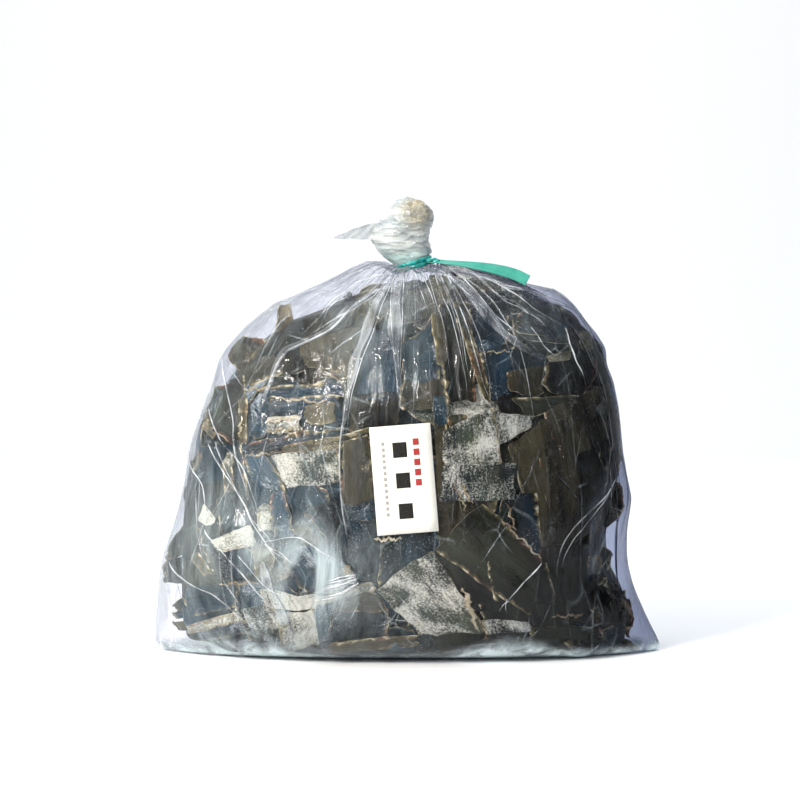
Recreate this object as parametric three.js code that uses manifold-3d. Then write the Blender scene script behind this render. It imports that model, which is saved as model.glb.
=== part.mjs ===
// A clear polythene bag packed with dried kelp, gathered at the neck and closed with a flat
// vinyl tie, standing on its own base. Millimetres, +Z up, +X to the right of the label,
// -Y towards whoever reads the label. The origin is on the floor under the bag's middle.

import * as THREE from 'three';
import { mergeVertices } from 'three/addons/utils/BufferGeometryUtils.js';
import Module from 'manifold-3d';

const wasm = await Module();
wasm.setup();

// ---- driving dimensions ----------------------------------------------------------------

const GAP = 0.3;               // clearance between pieces that touch
const BAG_SEGMENTS = 80;       // points round each ring of the film
const BODY_STEPS = 3;          // rings between two stations of the body's outline
const KNOT_STEPS = 2;          // and of the neck's and top-knot's

const FOOT = 196;              // half width of the flat that the bag stands on
const FOOT_FRONT = 46;         // how far that flat reaches forward of the bag's axis
const FOOT_BACK = 60;          // and back

const NECK_X = 4;              // middle of the tied neck
const NECK_Z = 349;
const NECK_HALF_WIDTH = 14.5;
const NECK_HALF_DEPTH = 13;
const NECK_TILT = THREE.MathUtils.degToRad(16);    // the ring rises to the right
const NECK_LEAN = THREE.MathUtils.degToRad(7);     // and to the back

const TIE_WIDTH = 9;           // flat width of the vinyl tape
const TIE_THICKNESS = 1.4;     // its thickness where it is wound, two layers deep
const TAIL_THICKNESS = 1;
const TWIST_AT = new THREE.Vector3(21.5, -13.5, 351);   // where the tape crosses itself
const TWIST_RADIUS = 2.6;
const TWIST_LENGTH = 9;

const LABEL_WIDTH = 52;
const LABEL_HEIGHT = 92;
const LABEL_THICKNESS = 0.8;
const LABEL_X = -4.7;
const LABEL_Z = 162;
const LABEL_FRONT = 111;       // how far its middle stands in front of the bag's axis
const LABEL_TURN = THREE.MathUtils.degToRad(4.5);  // counter-clockwise, seen from the front
const LABEL_LEAN = THREE.MathUtils.degToRad(4);    // top away from the viewer

const LEAF_LENGTH = 39;        // loose corner of film that sticks out of the top-knot
const LEAF_ROOT = new THREE.Vector3(-26, 0, 375);
const LEAF_ROOT_HEIGHT = 19;
const LEAF_TIP_HEIGHT = 1.6;
const LEAF_THICKNESS = 2.4;    // several layers of film at the root
const LEAF_TIP_THICKNESS = 0.9;

const PLEATS = 16;             // folds that run down from the neck
const PLEAT_DEPTH = 2.6;
const SHEETS = 34;             // stiff sheets that press flats into the film
const SEED = 41;

// The bag's outline, from the floor to the crown of the top-knot. Each station is one ring:
// left and right are [x, z] of its side points, front and back are [distance from the axis, z].
// face is how flat the broad faces are, and corner how pinched the two side edges are
// (2 is round, 1 is a sharp seam).
const STATIONS = [
  { left: [-FOOT, 0], right: [FOOT + 10, 0], front: [FOOT_FRONT, 0], back: [FOOT_BACK, 0],
    face: 2.6, corner: 1.5 },
  { left: [-230, 3], right: [232.5, 1.5], front: [72, 5], back: [78, 6],
    face: 2.5, corner: 1.15 },
  { left: [-230.5, 14], right: [225, 12], front: [95, 19], back: [96, 20],
    face: 2.5, corner: 1.25 },
  { left: [-227.5, 40], right: [212, 38], front: [109, 44], back: [104, 45],
    face: 2.4, corner: 1.5 },
  { left: [-225, 72], right: [198, 76], front: [114, 76], back: [107, 76],
    face: 2.4, corner: 1.8 },
  { left: [-214, 108], right: [196, 108], front: [114, 108], back: [107, 108],
    face: 2.4, corner: 2 },
  { left: [-205, 138], right: [200, 138], front: [112, 138], back: [106, 138],
    face: 2.4, corner: 2 },
  { left: [-197, 180], right: [192, 180], front: [109, 180], back: [103, 180],
    face: 2.4, corner: 2 },
  { left: [-187, 216], right: [189, 220], front: [104, 218], back: [98, 218],
    face: 2.3, corner: 2 },
  { left: [-166, 257], right: [178, 259], front: [94, 258], back: [89, 258],
    face: 2.2, corner: 2 },
  { left: [-143, 292], right: [161, 293], front: [79, 291], back: [76, 293],
    face: 2.1, corner: 2 },
  { left: [-104, 317], right: [136, 322], front: [60, 316], back: [59, 320],
    face: 2, corner: 2 },
  { left: [-62, 338], right: [102, 334], front: [41, 333], back: [42, 338],
    face: 2, corner: 2 },
  { left: [-31, 349.5], right: [56, 342], front: [27, 341], back: [29, 348],
    face: 2, corner: 2 },
];

// The top-knot: the film above the tie, doubled over into a soft head.
const KNOT_STATIONS = [
  { left: [-19, 349.5], right: [20, 361.5], front: [15.5, 352], back: [15.5, 358] },
  { left: [-31.5, 366], right: [18.5, 369], front: [19, 366], back: [18, 370] },
  { left: [-32, 379], right: [19, 380], front: [20, 380], back: [19, 382] },
  { left: [-24, 389], right: [22.5, 389], front: [20.5, 389], back: [19, 390] },
  { left: [-18.5, 398], right: [22, 396.5], front: [18, 397], back: [17, 398] },
  { left: [-11, 406], right: [13, 404.5], front: [10, 405], back: [10, 406] },
];
const CROWN = new THREE.Vector3(-1.5, 0, 409.5);

// ---- helpers ----------------------------------------------------------------------------

// The same sequence every run.
function seededRandom(seed) {
  let state = seed;
  return () => {
    state = (state * 1664525 + 1013904223) % 4294967296;
    return state / 4294967296;
  };
}

function smoothstep(low, high, value) {
  const t = THREE.MathUtils.clamp((value - low) / (high - low), 0, 1);
  return t * t * (3 - 2 * t);
}

// A geometry with position alone and its doubled vertices merged.
function welded(geometry) {
  const bare = geometry.index ? geometry.toNonIndexed() : geometry.clone();
  bare.deleteAttribute('normal');
  bare.deleteAttribute('uv');
  return mergeVertices(bare, 1e-4);
}

function toSolid(geometry) {
  const shell = welded(geometry);
  return new wasm.Manifold(new wasm.Mesh({
    numProp: 3,
    vertProperties: Float32Array.from(shell.attributes.position.array),
    triVerts: Uint32Array.from(shell.index.array),
  }));
}

function toGeometry(solid) {
  const { vertProperties, triVerts } = solid.getMesh();
  const geometry = new THREE.BufferGeometry();
  geometry.setAttribute('position', new THREE.BufferAttribute(vertProperties, 3));
  geometry.setIndex(new THREE.BufferAttribute(triVerts, 1));
  return geometry;
}

// Moves every vertex of a geometry by a function of its place.
function reshape(geometry, place) {
  const position = geometry.attributes.position;
  const point = new THREE.Vector3();
  for (let i = 0; i < position.count; i += 1) {
    point.fromBufferAttribute(position, i);
    place(point, i);
    position.setXYZ(i, point.x, point.y, point.z);
  }
  return geometry;
}

// ---- the film bag -------------------------------------------------------------------------

function neckPoint(angle, halfWidth, halfDepth, rise) {
  const point = new THREE.Vector3(halfWidth * Math.cos(angle), halfDepth * Math.sin(angle), rise);
  point.applyEuler(new THREE.Euler(NECK_LEAN, -NECK_TILT, 0));
  return point.add(new THREE.Vector3(NECK_X, 0, NECK_Z));
}

// One ring of the neck is given by its tilted ellipse, in the form of a station.
function neckStation(rise, widening) {
  const at = (angle) => neckPoint(
    angle, NECK_HALF_WIDTH + widening, NECK_HALF_DEPTH + widening, rise);
  const [right, back, left, front] = [0, 1, 2, 3].map((turn) => at(turn * Math.PI / 2));
  return {
    left: [left.x, left.z], right: [right.x, right.z],
    front: [-front.y, front.z], back: [back.y, back.z],
  };
}

function allStations() {
  const half = TIE_WIDTH / 2;
  return [
    ...STATIONS,
    neckStation(-half - 1.5, 2.2),
    neckStation(-half * 0.6, 0),
    neckStation(half * 0.6, 0),
    ...KNOT_STATIONS,
  ].map((station) => ({ face: 2, corner: 2, ...station }));
}

// Smooth functions of the station number for each thing that a station gives.
function stationCurves(stations) {
  const curve = (pick) => new THREE.CatmullRomCurve3(
    stations.map((station) => new THREE.Vector3(...pick(station), 0)), false, 'centripetal');
  const curves = {
    left: curve((station) => station.left),
    right: curve((station) => station.right),
    front: curve((station) => station.front),
    back: curve((station) => station.back),
    shape: curve((station) => [station.face, station.corner]),
  };
  return (t) => Object.fromEntries(
    Object.entries(curves).map(([name, path]) => [name, path.getPoint(t)]));
}

// A point on the ring t, at an angle that runs from the right side through the back.
function ringPoint(ring, angle) {
  const c = Math.cos(angle);
  const s = Math.sin(angle);
  const side = c < 0 ? ring.left : ring.right;
  const face = s < 0 ? ring.front : ring.back;
  const middle = (ring.left.x + ring.right.x) / 2;
  const x = middle + (side.x - middle) * Math.abs(c) ** (2 / ring.shape.x);
  const y = Math.sign(s) * face.x * Math.abs(s) ** (2 / ring.shape.y);
  return new THREE.Vector3(x, y, Math.max(0, side.y * c * c + face.y * s * s));
}

// The label is stiffer than the film, so the film lies flat against its back.
function cardSheet() {
  const turned = (x, y, z) => new THREE.Vector3(x, y, z).transformDirection(labelPlacement());
  return {
    origin: new THREE.Vector3(LABEL_X, -LABEL_FRONT, LABEL_Z),
    out: turned(0, -1, 0), across: turned(1, 0, 0), along: turned(0, 0, 1),
    halfLength: 0.68 * LABEL_WIDTH, halfWidth: 0.62 * LABEL_HEIGHT, hold: 1,
  };
}

// Each kelp sheet inside holds a patch of the film flat and lets its corners stand proud.
function pressedSheets(shell) {
  const random = seededRandom(SEED);
  const { position, normal } = shell.attributes;
  const sheets = [cardSheet()];
  while (sheets.length <= SHEETS) {
    const pick = Math.floor(random() * position.count);
    const origin = new THREE.Vector3().fromBufferAttribute(position, pick);
    const out = new THREE.Vector3().fromBufferAttribute(normal, pick);
    const across = new THREE.Vector3(-out.y, out.x, 0);
    const turn = random() * Math.PI;
    const halfLength = THREE.MathUtils.lerp(38, 62, random());
    const halfWidth = THREE.MathUtils.lerp(26, 42, random());
    const standsOnBody = origin.z > 36 && origin.z < 292 && Math.abs(origin.x) < 150;
    if (standsOnBody && across.length() > 0.5) {
      across.normalize().applyAxisAngle(out, turn);
      const along = new THREE.Vector3().crossVectors(out, across);
      sheets.push({ origin, out, across, along, halfLength, halfWidth, hold: 0.5 });
    }
  }
  return sheets;
}

function pressFlats(point, sheets) {
  const offset = new THREE.Vector3();
  for (const sheet of sheets.toReversed()) {
    offset.subVectors(point, sheet.origin);
    const height = offset.dot(sheet.out);
    const reach = Math.max(
      Math.abs(offset.dot(sheet.across)) / sheet.halfLength,
      Math.abs(offset.dot(sheet.along)) / sheet.halfWidth);
    if (reach < 1.15 && height > -30) {
      const hold = sheet.hold * (1 - smoothstep(0.8, 1.15, reach));
      point.addScaledVector(sheet.out, -hold * height);
    }
  }
}

// Folds gathered by the tie: deep at the neck, gone by the shoulder.
function pleat(angle, t, neckT) {
  const wander = 0.5 * Math.sin(2 * angle + 1) + 0.35 * Math.sin(5 * angle);
  const fade = smoothstep(neckT - 0.24, neckT - 0.03, t) * (1 - smoothstep(neckT, neckT + 0.12, t));
  return PLEAT_DEPTH * fade * Math.sin(PLEATS * angle + wander);
}

// The soft head above the tie is crumpled in broad dents.
function crumple(point) {
  const swirl = Math.sin(point.x * 0.21 + point.z * 0.13) * Math.sin(point.y * 0.24 - point.z * 0.17);
  return 1.3 * swirl * smoothstep(366, 376, point.z);
}

function filmShell() {
  const stations = allStations();
  const ringAt = stationCurves(stations);
  const profile = [new THREE.Vector2(0, -1)];
  for (let i = 0; i < stations.length - 1; i += 1) {
    const steps = i < STATIONS.length ? BODY_STEPS : KNOT_STEPS;
    for (let step = 0; step < steps; step += 1) {
      profile.push(new THREE.Vector2(1, (i + step / steps) / (stations.length - 1)));
    }
  }
  profile.push(new THREE.Vector2(1, 1), new THREE.Vector2(0, 2));
  const shell = welded(new THREE.LatheGeometry(profile, BAG_SEGMENTS));

  // LatheGeometry turns about Y: the height is the ring's t, the turn is the angle.
  const angles = [];
  const heights = [];
  reshape(shell, (point) => {
    const angle = Math.atan2(-point.z, point.x);
    const t = point.y;
    angles.push(angle);
    heights.push(t);
    if (t < 0) {
      point.set(0, 0, 0);
    } else if (t > 1) {
      point.copy(CROWN);
    } else {
      point.copy(ringPoint(ringAt(t), angle));
    }
  });
  shell.computeVertexNormals();

  const sheets = pressedSheets(shell);
  const neckT = (STATIONS.length + 1) / (stations.length - 1);
  const normals = shell.attributes.normal.clone();
  const out = new THREE.Vector3();
  reshape(shell, (point, i) => {
    const t = heights[i];
    if (t < 0 || t > 1 || point.z === 0) return;
    pressFlats(point, sheets);
    out.fromBufferAttribute(normals, i);
    point.addScaledVector(out, pleat(angles[i], t, neckT) + crumple(point));
    point.z = Math.max(point.z, 0.5);
  });
  return shell;
}

// The loose corner of film: a thin wavy triangle that droops to its tip.
function leafGeometry() {
  const leaf = new THREE.BoxGeometry(1, 1, 1, 12, 1, 6);
  return reshape(welded(leaf), (point) => {
    const along = 0.5 - point.x;
    const height = THREE.MathUtils.lerp(LEAF_ROOT_HEIGHT, LEAF_TIP_HEIGHT, along ** 1.4);
    const thickness = THREE.MathUtils.lerp(LEAF_THICKNESS, LEAF_TIP_THICKNESS, along);
    const sag = 7.5 * along * along - 3 * along;
    const wave = 2.2 * Math.sin(along * 5) * (0.4 + point.z);
    point.set(-LEAF_LENGTH * along, point.y * thickness + wave, point.z * height - sag);
    point.add(LEAF_ROOT);
  });
}

// ---- the tie ------------------------------------------------------------------------------

// A wound band round the neck. grow thickens it evenly, for cutting its seat in the film.
function ringBand(grow) {
  const half = TIE_WIDTH * 0.4 + grow;
  const inner = 1 - grow / NECK_HALF_WIDTH;
  const outer = 1 + (2 * TIE_THICKNESS + grow) / NECK_HALF_WIDTH;
  const profile = [
    new THREE.Vector2(inner, -half), new THREE.Vector2(outer, -half * 0.8),
    new THREE.Vector2(outer, half * 0.8), new THREE.Vector2(inner, half),
    new THREE.Vector2(inner, -half),
  ];
  const band = welded(new THREE.LatheGeometry(profile, 36));
  return reshape(band, (point) => {
    const radius = Math.hypot(point.x, point.z);
    const angle = Math.atan2(-point.z, point.x);
    point.copy(neckPoint(
      angle, (NECK_HALF_WIDTH + GAP) * radius, (NECK_HALF_DEPTH + GAP) * radius, point.y));
  });
}

// The free end: from the twist it runs along the shoulder and droops, turning its flat side
// from edge-on to facing the viewer.
const TAIL_PATH = new THREE.CatmullRomCurve3([
  new THREE.Vector3(17, -13, 350.5), new THREE.Vector3(29, -17, 349.6),
  new THREE.Vector3(46, -20, 347.8), new THREE.Vector3(64, -22, 345.4),
  new THREE.Vector3(80, -24, 342.2), new THREE.Vector3(94, -26, 338),
  new THREE.Vector3(104.5, -28, 332.8),
]);

function tailStrip(grow) {
  const strip = new THREE.BoxGeometry(1, 1, 1, 22, 1, 2);
  const step = 0.01;
  return reshape(welded(strip), (point) => {
    const t = THREE.MathUtils.clamp(point.x + 0.5, 0, 1);
    const { x: end, y: layer, z: edge } = point;
    const stretch = Math.abs(end) > 0.499 ? grow * Math.sign(end) : 0;
    const centre = TAIL_PATH.getPoint(t);
    const ahead = TAIL_PATH.getPoint(Math.min(1, t + step));
    const behind = TAIL_PATH.getPoint(Math.max(0, t - step));
    const forward = ahead.sub(behind).normalize();
    const facing = new THREE.Vector3(0, -1, 0);
    const up = new THREE.Vector3().crossVectors(facing, forward).normalize();
    facing.crossVectors(forward, up);
    const roll = THREE.MathUtils.lerp(1.05, 0.12, smoothstep(0.05, 0.8, t));
    up.applyAxisAngle(forward, roll);
    facing.applyAxisAngle(forward, roll);
    const width = TIE_WIDTH * THREE.MathUtils.lerp(0.6, 1.12, smoothstep(0, 0.9, t)) + 2 * grow;
    point.copy(centre)
      .addScaledVector(up, edge * width)
      .addScaledVector(facing, -layer * (TAIL_THICKNESS + 2 * grow))
      .addScaledVector(forward, stretch);
  });
}

// Where the tape crosses itself it is wrung into a short rope.
function twist(grow) {
  const rope = new THREE.CapsuleGeometry(TWIST_RADIUS + grow, TWIST_LENGTH, 4, 12);
  rope.rotateZ(Math.PI / 2 - 0.1);
  rope.scale(1, 1, 0.85);
  return rope.translate(TWIST_AT.x, TWIST_AT.y, TWIST_AT.z);
}

function tieSolid(grow) {
  return toSolid(ringBand(grow)).add(toSolid(twist(grow))).add(toSolid(tailStrip(grow)));
}

// ---- the label ----------------------------------------------------------------------------

// The card's own frame: X across, Z up, its back face at y = 0 and its front towards -Y.
function labelPlacement() {
  return new THREE.Matrix4()
    .makeTranslation(LABEL_X, -LABEL_FRONT, LABEL_Z)
    .multiply(new THREE.Matrix4().makeRotationX(-LABEL_LEAN))
    .multiply(new THREE.Matrix4().makeRotationY(-LABEL_TURN));
}

function cardBox(width, front, back, height) {
  const box = new THREE.BoxGeometry(width, front + back, height);
  box.translate(0, (back - front) / 2, 0);
  return box;
}

// ---- putting it together --------------------------------------------------------------------

function bagGeometry() {
  const seat = cardBox(LABEL_WIDTH + 2 * GAP, 30, GAP, LABEL_HEIGHT + 2 * GAP);
  seat.applyMatrix4(labelPlacement());
  const solid = toSolid(filmShell())
    .add(toSolid(leafGeometry()))
    .subtract(tieSolid(GAP))
    .subtract(toSolid(seat));
  const bodies = solid.decompose();
  bodies.sort((a, b) => b.volume() - a.volume());
  return toGeometry(bodies[0]);
}

function piece(name, geometry, colour, roughness, metalness = 0) {
  const material = new THREE.MeshStandardMaterial({ color: colour, roughness, metalness });
  const mesh = new THREE.Mesh(geometry, material);
  mesh.name = name;
  return mesh;
}

const bag = piece('bag', bagGeometry(), '#4d5450', 0.35);
const tie = piece('tie', toGeometry(tieSolid(0)), '#35b8a3', 0.4);
const label = piece(
  'label', cardBox(LABEL_WIDTH, LABEL_THICKNESS, 0, LABEL_HEIGHT), '#f4f1e8', 0.8);
labelPlacement().decompose(label.position, label.quaternion, label.scale);

const group = new THREE.Group();
group.add(bag, tie, label);

// The origin goes under the middle of the finished outline.
group.updateMatrixWorld(true);
const outline = new THREE.Box3().setFromObject(group, true);
const middle = outline.getCenter(new THREE.Vector3());
group.position.set(-middle.x, -middle.y, -outline.min.z);

export default group;
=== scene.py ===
# %% [markdown]
# # A tied clear bag of dried kelp
# The real thing is a large polythene bag filled with cut sheets of dried kelp. Its neck is
# gathered, closed with a flat vinyl tape, and the spare film above it is doubled into a
# top-knot. A small card is stuck to the front. The frame gives the solid bag, the tie and the
# label at their true size, and this lesson dresses them.

import math

import bmesh
import bpy
import numpy as np
from mathutils import Matrix, Vector, noise
from mathutils.bvhtree import BVHTree


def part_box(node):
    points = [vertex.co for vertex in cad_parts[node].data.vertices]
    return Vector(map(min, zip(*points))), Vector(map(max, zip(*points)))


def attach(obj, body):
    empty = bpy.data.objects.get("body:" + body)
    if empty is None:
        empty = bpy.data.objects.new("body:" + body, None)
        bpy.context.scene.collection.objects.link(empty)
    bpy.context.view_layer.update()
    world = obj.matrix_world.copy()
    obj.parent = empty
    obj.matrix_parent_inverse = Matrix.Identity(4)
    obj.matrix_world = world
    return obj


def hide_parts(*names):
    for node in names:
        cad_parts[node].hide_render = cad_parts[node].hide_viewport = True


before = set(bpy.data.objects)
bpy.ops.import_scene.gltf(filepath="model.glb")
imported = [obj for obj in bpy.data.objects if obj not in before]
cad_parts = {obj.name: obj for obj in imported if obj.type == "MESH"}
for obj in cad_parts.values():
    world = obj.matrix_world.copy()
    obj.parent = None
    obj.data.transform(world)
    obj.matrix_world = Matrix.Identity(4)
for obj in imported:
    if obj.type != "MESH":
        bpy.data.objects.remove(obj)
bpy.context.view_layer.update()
MM = 0.001
rng = np.random.default_rng(20)

# %% [markdown]
# ## Helpers for finishes and meshes
# Blender's shaders work in linear light, and colours are easier to choose as sRGB hex values,
# so one function turns one into the other. A second one adds a node, fills its inputs with
# values or links, and gives back the output that the next node needs. The others carry arrays
# of points into meshes and hand finished pieces over to the frame.


# %% Helpers for finishes
def srgb(hex_colour, alpha=1.0):
    """A hex colour as linear red, green, blue and alpha."""
    channels = [int(hex_colour[i:i + 2], 16) / 255 for i in (1, 3, 5)]
    linear = [c / 12.92 if c <= 0.04045 else ((c + 0.055) / 1.055) ** 2.4 for c in channels]
    return (*linear, alpha)


def node(tree, kind, inputs=(), output=0, stops=(), **settings):
    """Adds a shader node with its settings and links, and gives back one of its outputs.

    inputs are values or other nodes' outputs: a list fills the sockets in their order, a dict
    goes by name or number. stops are the (position, hex colour) pairs of a colour ramp."""
    added = tree.nodes.new("ShaderNode" + kind)
    for name, value in settings.items():
        setattr(added, name, value)
    for name, value in inputs.items() if isinstance(inputs, dict) else enumerate(inputs):
        if isinstance(value, bpy.types.NodeSocket):
            tree.links.new(value, added.inputs[name])
        else:
            added.inputs[name].default_value = value
    if stops:
        elements = added.color_ramp.elements
        while len(elements) < len(stops):
            elements.new(0.5)
        for element, (position, colour) in zip(elements, stops):
            element.position = position
            element.color = srgb(colour)
    return added.outputs[output] if len(added.outputs) else None


def material(name):
    """An empty node material, and its tree."""
    made = bpy.data.materials.new(name)
    made.use_nodes = True
    made.node_tree.nodes.clear()
    return made, made.node_tree


def per_mm(size_mm):
    """The scale of a pattern whose marks are size_mm across."""
    return 1 / (size_mm * MM)


# %% Helpers for meshes
def mesh_from(bm, name):
    """A mesh made from a bmesh, which is freed."""
    mesh = bpy.data.meshes.new(name)
    bm.to_mesh(mesh)
    bm.free()
    return mesh


def coordinates(mesh):
    """The mesh's vertices, as an array of x, y, z."""
    flat = np.empty(len(mesh.vertices) * 3)
    mesh.vertices.foreach_get("co", flat)
    return flat.reshape(-1, 3)


def place_vertices(mesh, points):
    """Moves the mesh's vertices to points."""
    mesh.vertices.foreach_set("co", np.asarray(points, float).ravel())
    mesh.update()


def mark(mesh, name, values):
    """Gives every vertex a number that materials read by name."""
    mesh.attributes.new(name, "FLOAT", "POINT").data.foreach_set("value", values)


def new_object(name, mesh, *materials):
    """A smooth object at the origin, with its materials."""
    made = bpy.data.objects.new(name, mesh)
    bpy.context.scene.collection.objects.link(made)
    for each in materials:
        mesh.materials.append(each)
    mesh.polygons.foreach_set("use_smooth", np.ones(len(mesh.polygons), bool))
    return made


def thicken(piece, thickness, offset=0):
    """Closes a sheet into a wall, half to each side, or inwards with an offset of -1."""
    wall = piece.modifiers.new("thickness", "SOLIDIFY")
    wall.thickness = thickness
    wall.offset = offset
    return wall


def hand_over(piece, cad_node):
    """Rides a finished piece on the one body and hides the solid it stands for."""
    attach(piece, "root")
    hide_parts(cad_node)


# %% [markdown]
# ## The camera
# The bag stands at arm's length from a long lens, which sees it almost level. A lens of 90 mm
# at 1.8 m draws the bag's middle plane at 1.11 pixels for each millimetre of an 800 pixel frame.

# %% The camera
FRAME_PIXELS = 800
SENSOR = 36.0
LENS = 90.0
CAMERA_DISTANCE = 1.8
CAMERA_ELEVATION = math.radians(1.5)
AIM = Vector((-0.0086, 0.0, 0.2264))

view_forward = Vector((0, math.cos(CAMERA_ELEVATION), -math.sin(CAMERA_ELEVATION)))
camera_data = bpy.data.cameras.new("camera")
camera_data.lens = LENS
camera_data.sensor_width = SENSOR
camera = bpy.data.objects.new("camera", camera_data)
camera.location = AIM - view_forward * CAMERA_DISTANCE
camera.rotation_euler = view_forward.to_track_quat("-Z", "Y").to_euler()
bpy.context.scene.collection.objects.link(camera)
bpy.context.scene.camera = camera

EYE = np.array(camera.location)
LOOK = np.array(view_forward)
RIGHT = np.array((1.0, 0.0, 0.0))
UP = np.cross(RIGHT, LOOK)


def sight_lines(pixels):
    """Unit directions from the camera through frame pixels, given as an array of x, y."""
    focal = LENS / SENSOR * FRAME_PIXELS
    half = FRAME_PIXELS / 2
    x = (pixels[..., 0] - half) / focal
    y = (half - pixels[..., 1]) / focal
    lines = LOOK + x[..., None] * RIGHT + y[..., None] * UP
    return lines / np.linalg.norm(lines, axis=-1, keepdims=True)


print("camera at", tuple(round(v, 3) for v in camera.location))

# %% [markdown]
# ## Reading the bag's form
# Film, kelp and core all follow one form, the frame's solid bag. From a point in the middle of
# the bag every spot of its skin is in plain sight, so the form can be written as one distance
# for each direction. Rays measure it on a grid of half degrees, as a globe is mapped by
# latitude and longitude, and a light blur takes off the facets.

# %% Helpers for directions
COLUMNS = 720                             # half a degree of azimuth each
ROWS = 361                                # and of elevation


def unit(vectors):
    """The vectors at a length of one."""
    return vectors / np.linalg.norm(vectors, axis=-1, keepdims=True)


def direction(azimuth, elevation):
    """Unit vectors that look out at these angles."""
    return np.stack([np.cos(elevation) * np.cos(azimuth), np.cos(elevation) * np.sin(azimuth),
                     np.sin(elevation)], -1)


def angles(looks):
    """The azimuth and elevation of unit vectors."""
    return (np.arctan2(looks[..., 1], looks[..., 0]),
            np.arcsin(np.clip(looks[..., 2], -1, 1)))


def blur(grid, passes):
    """A soft blur that wraps round in azimuth."""
    for _ in range(passes):
        grid = (2 * grid + np.roll(grid, 1, 1) + np.roll(grid, -1, 1)) / 4
        padded = np.pad(grid, ((1, 1), (0, 0)), "edge")
        grid = (2 * grid + padded[2:] + padded[:-2]) / 4
    return grid


def sample(grid, directions):
    """The grid's value at each direction, between its four nearest cells."""
    azimuth, elevation = angles(directions)
    column = azimuth % (2 * np.pi) / (2 * np.pi) * COLUMNS
    row = np.clip((elevation / np.pi + 0.5) * (ROWS - 1), 0, ROWS - 1.001)
    c0, r0 = np.floor(column).astype(int), np.floor(row).astype(int)
    fc, fr = column - c0, row - r0
    c0, c1 = c0 % COLUMNS, (c0 + 1) % COLUMNS
    low = grid[r0, c0] * (1 - fc) + grid[r0, c1] * fc
    high = grid[r0 + 1, c0] * (1 - fc) + grid[r0 + 1, c1] * fc
    return low * (1 - fr) + high * fr


# %% Reading the bag's form
HEART = np.array((0.0, 0.0, 0.150))       # the point that looks out
NECK = np.array((0.004, 0.0, 0.349))      # middle of the tied neck
NECK_REACH = NECK[2] - HEART[2] + 0.010   # a longer ray has run on into the top-knot
SHOULDER_ROW = int(0.80 * ROWS)           # below it no ray comes near the neck

bm = bmesh.new()
bm.from_mesh(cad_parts["bag"].data)
bmesh.ops.remove_doubles(bm, verts=bm.verts, dist=0.01 * MM)
bag_tree = BVHTree.FromBMesh(bm)
bm.free()


def cast(origin, directions):
    """Distance from origin to the bag's skin along each direction."""
    start = Vector(origin)
    hits = [bag_tree.ray_cast(start, Vector(d))[3] or 0.0 for d in directions.reshape(-1, 3)]
    return np.array(hits).reshape(directions.shape[:-1])


azimuths = np.arange(COLUMNS) / COLUMNS * 2 * np.pi
elevations = (np.arange(ROWS) / (ROWS - 1) - 0.5) * np.pi
el_grid, az_grid = np.meshgrid(elevations, azimuths, indexing="ij")
globe = direction(az_grid, el_grid)
raw = cast(HEART, globe)

# Straight up, a ray runs on through the neck into the top-knot: the form stops at the neck.
neck_rows = np.empty(COLUMNS, int)
for column in range(COLUMNS):
    row = SHOULDER_ROW
    while row < ROWS - 1 and raw[row + 1, column] < NECK_REACH:
        row += 1
    neck_rows[column] = row
    raw[row + 1:, column] = raw[row, column]
skin = blur(raw, 5)
print("skin distance from", round(raw.min(), 3), "to", round(raw.max(), 3), "m;",
      "the neck begins at", round(math.degrees(elevations[neck_rows].min()), 1), "degrees")

# %% [markdown]
# ## Where the kelp reaches
# The kelp fills the bag to a few millimetres under the film. It falls short of the pinched
# bottom corners and of the empty film on both shoulders and round the neck, where the white
# backdrop shows through, and at the right of the front it leaves a hollow over the floor.

# %% Where the kelp reaches
COVER = 3.0 * MM              # film to kelp over most of the bag
NECK_COVER = 3.0 * MM         # how much more there is close under the neck,
LEFT_SHOULDER = 17.0 * MM     # in the empty film on the left shoulder
RIGHT_SHOULDER = 12.0 * MM    # and on the right one,
RIGHT_FOOT = 17.0 * MM        # over the right bottom corner
LEFT_FOOT = 12.0 * MM         # and at the floor beside the left one
FLOOR_COVER = 1.6 * MM
HOLLOW_RISE = 21 * MM         # how far the kelp stands off the floor in the hollow,
HOLLOW_X = 0.085              # whose middle
HOLLOW_WIDTH = 0.045          # and half width are these
CORNER_LEFT = 0.200           # the kelp's last reach into the bottom corners
CORNER_RIGHT = 0.191
PILE_DEPTH = 31.0 * MM        # from the kelp's skin down to the core


def smoothstep(low, high, value):
    """0 at low, 1 at high and an even slope between them."""
    t = np.clip((value - low) / (high - low), 0, 1)
    return t * t * (3 - 2 * t)


def hollow_at(x):
    """1 in the middle of the hollow, fading to 0 on both sides."""
    return np.exp(-((x - HOLLOW_X) / HOLLOW_WIDTH) ** 2)


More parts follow.
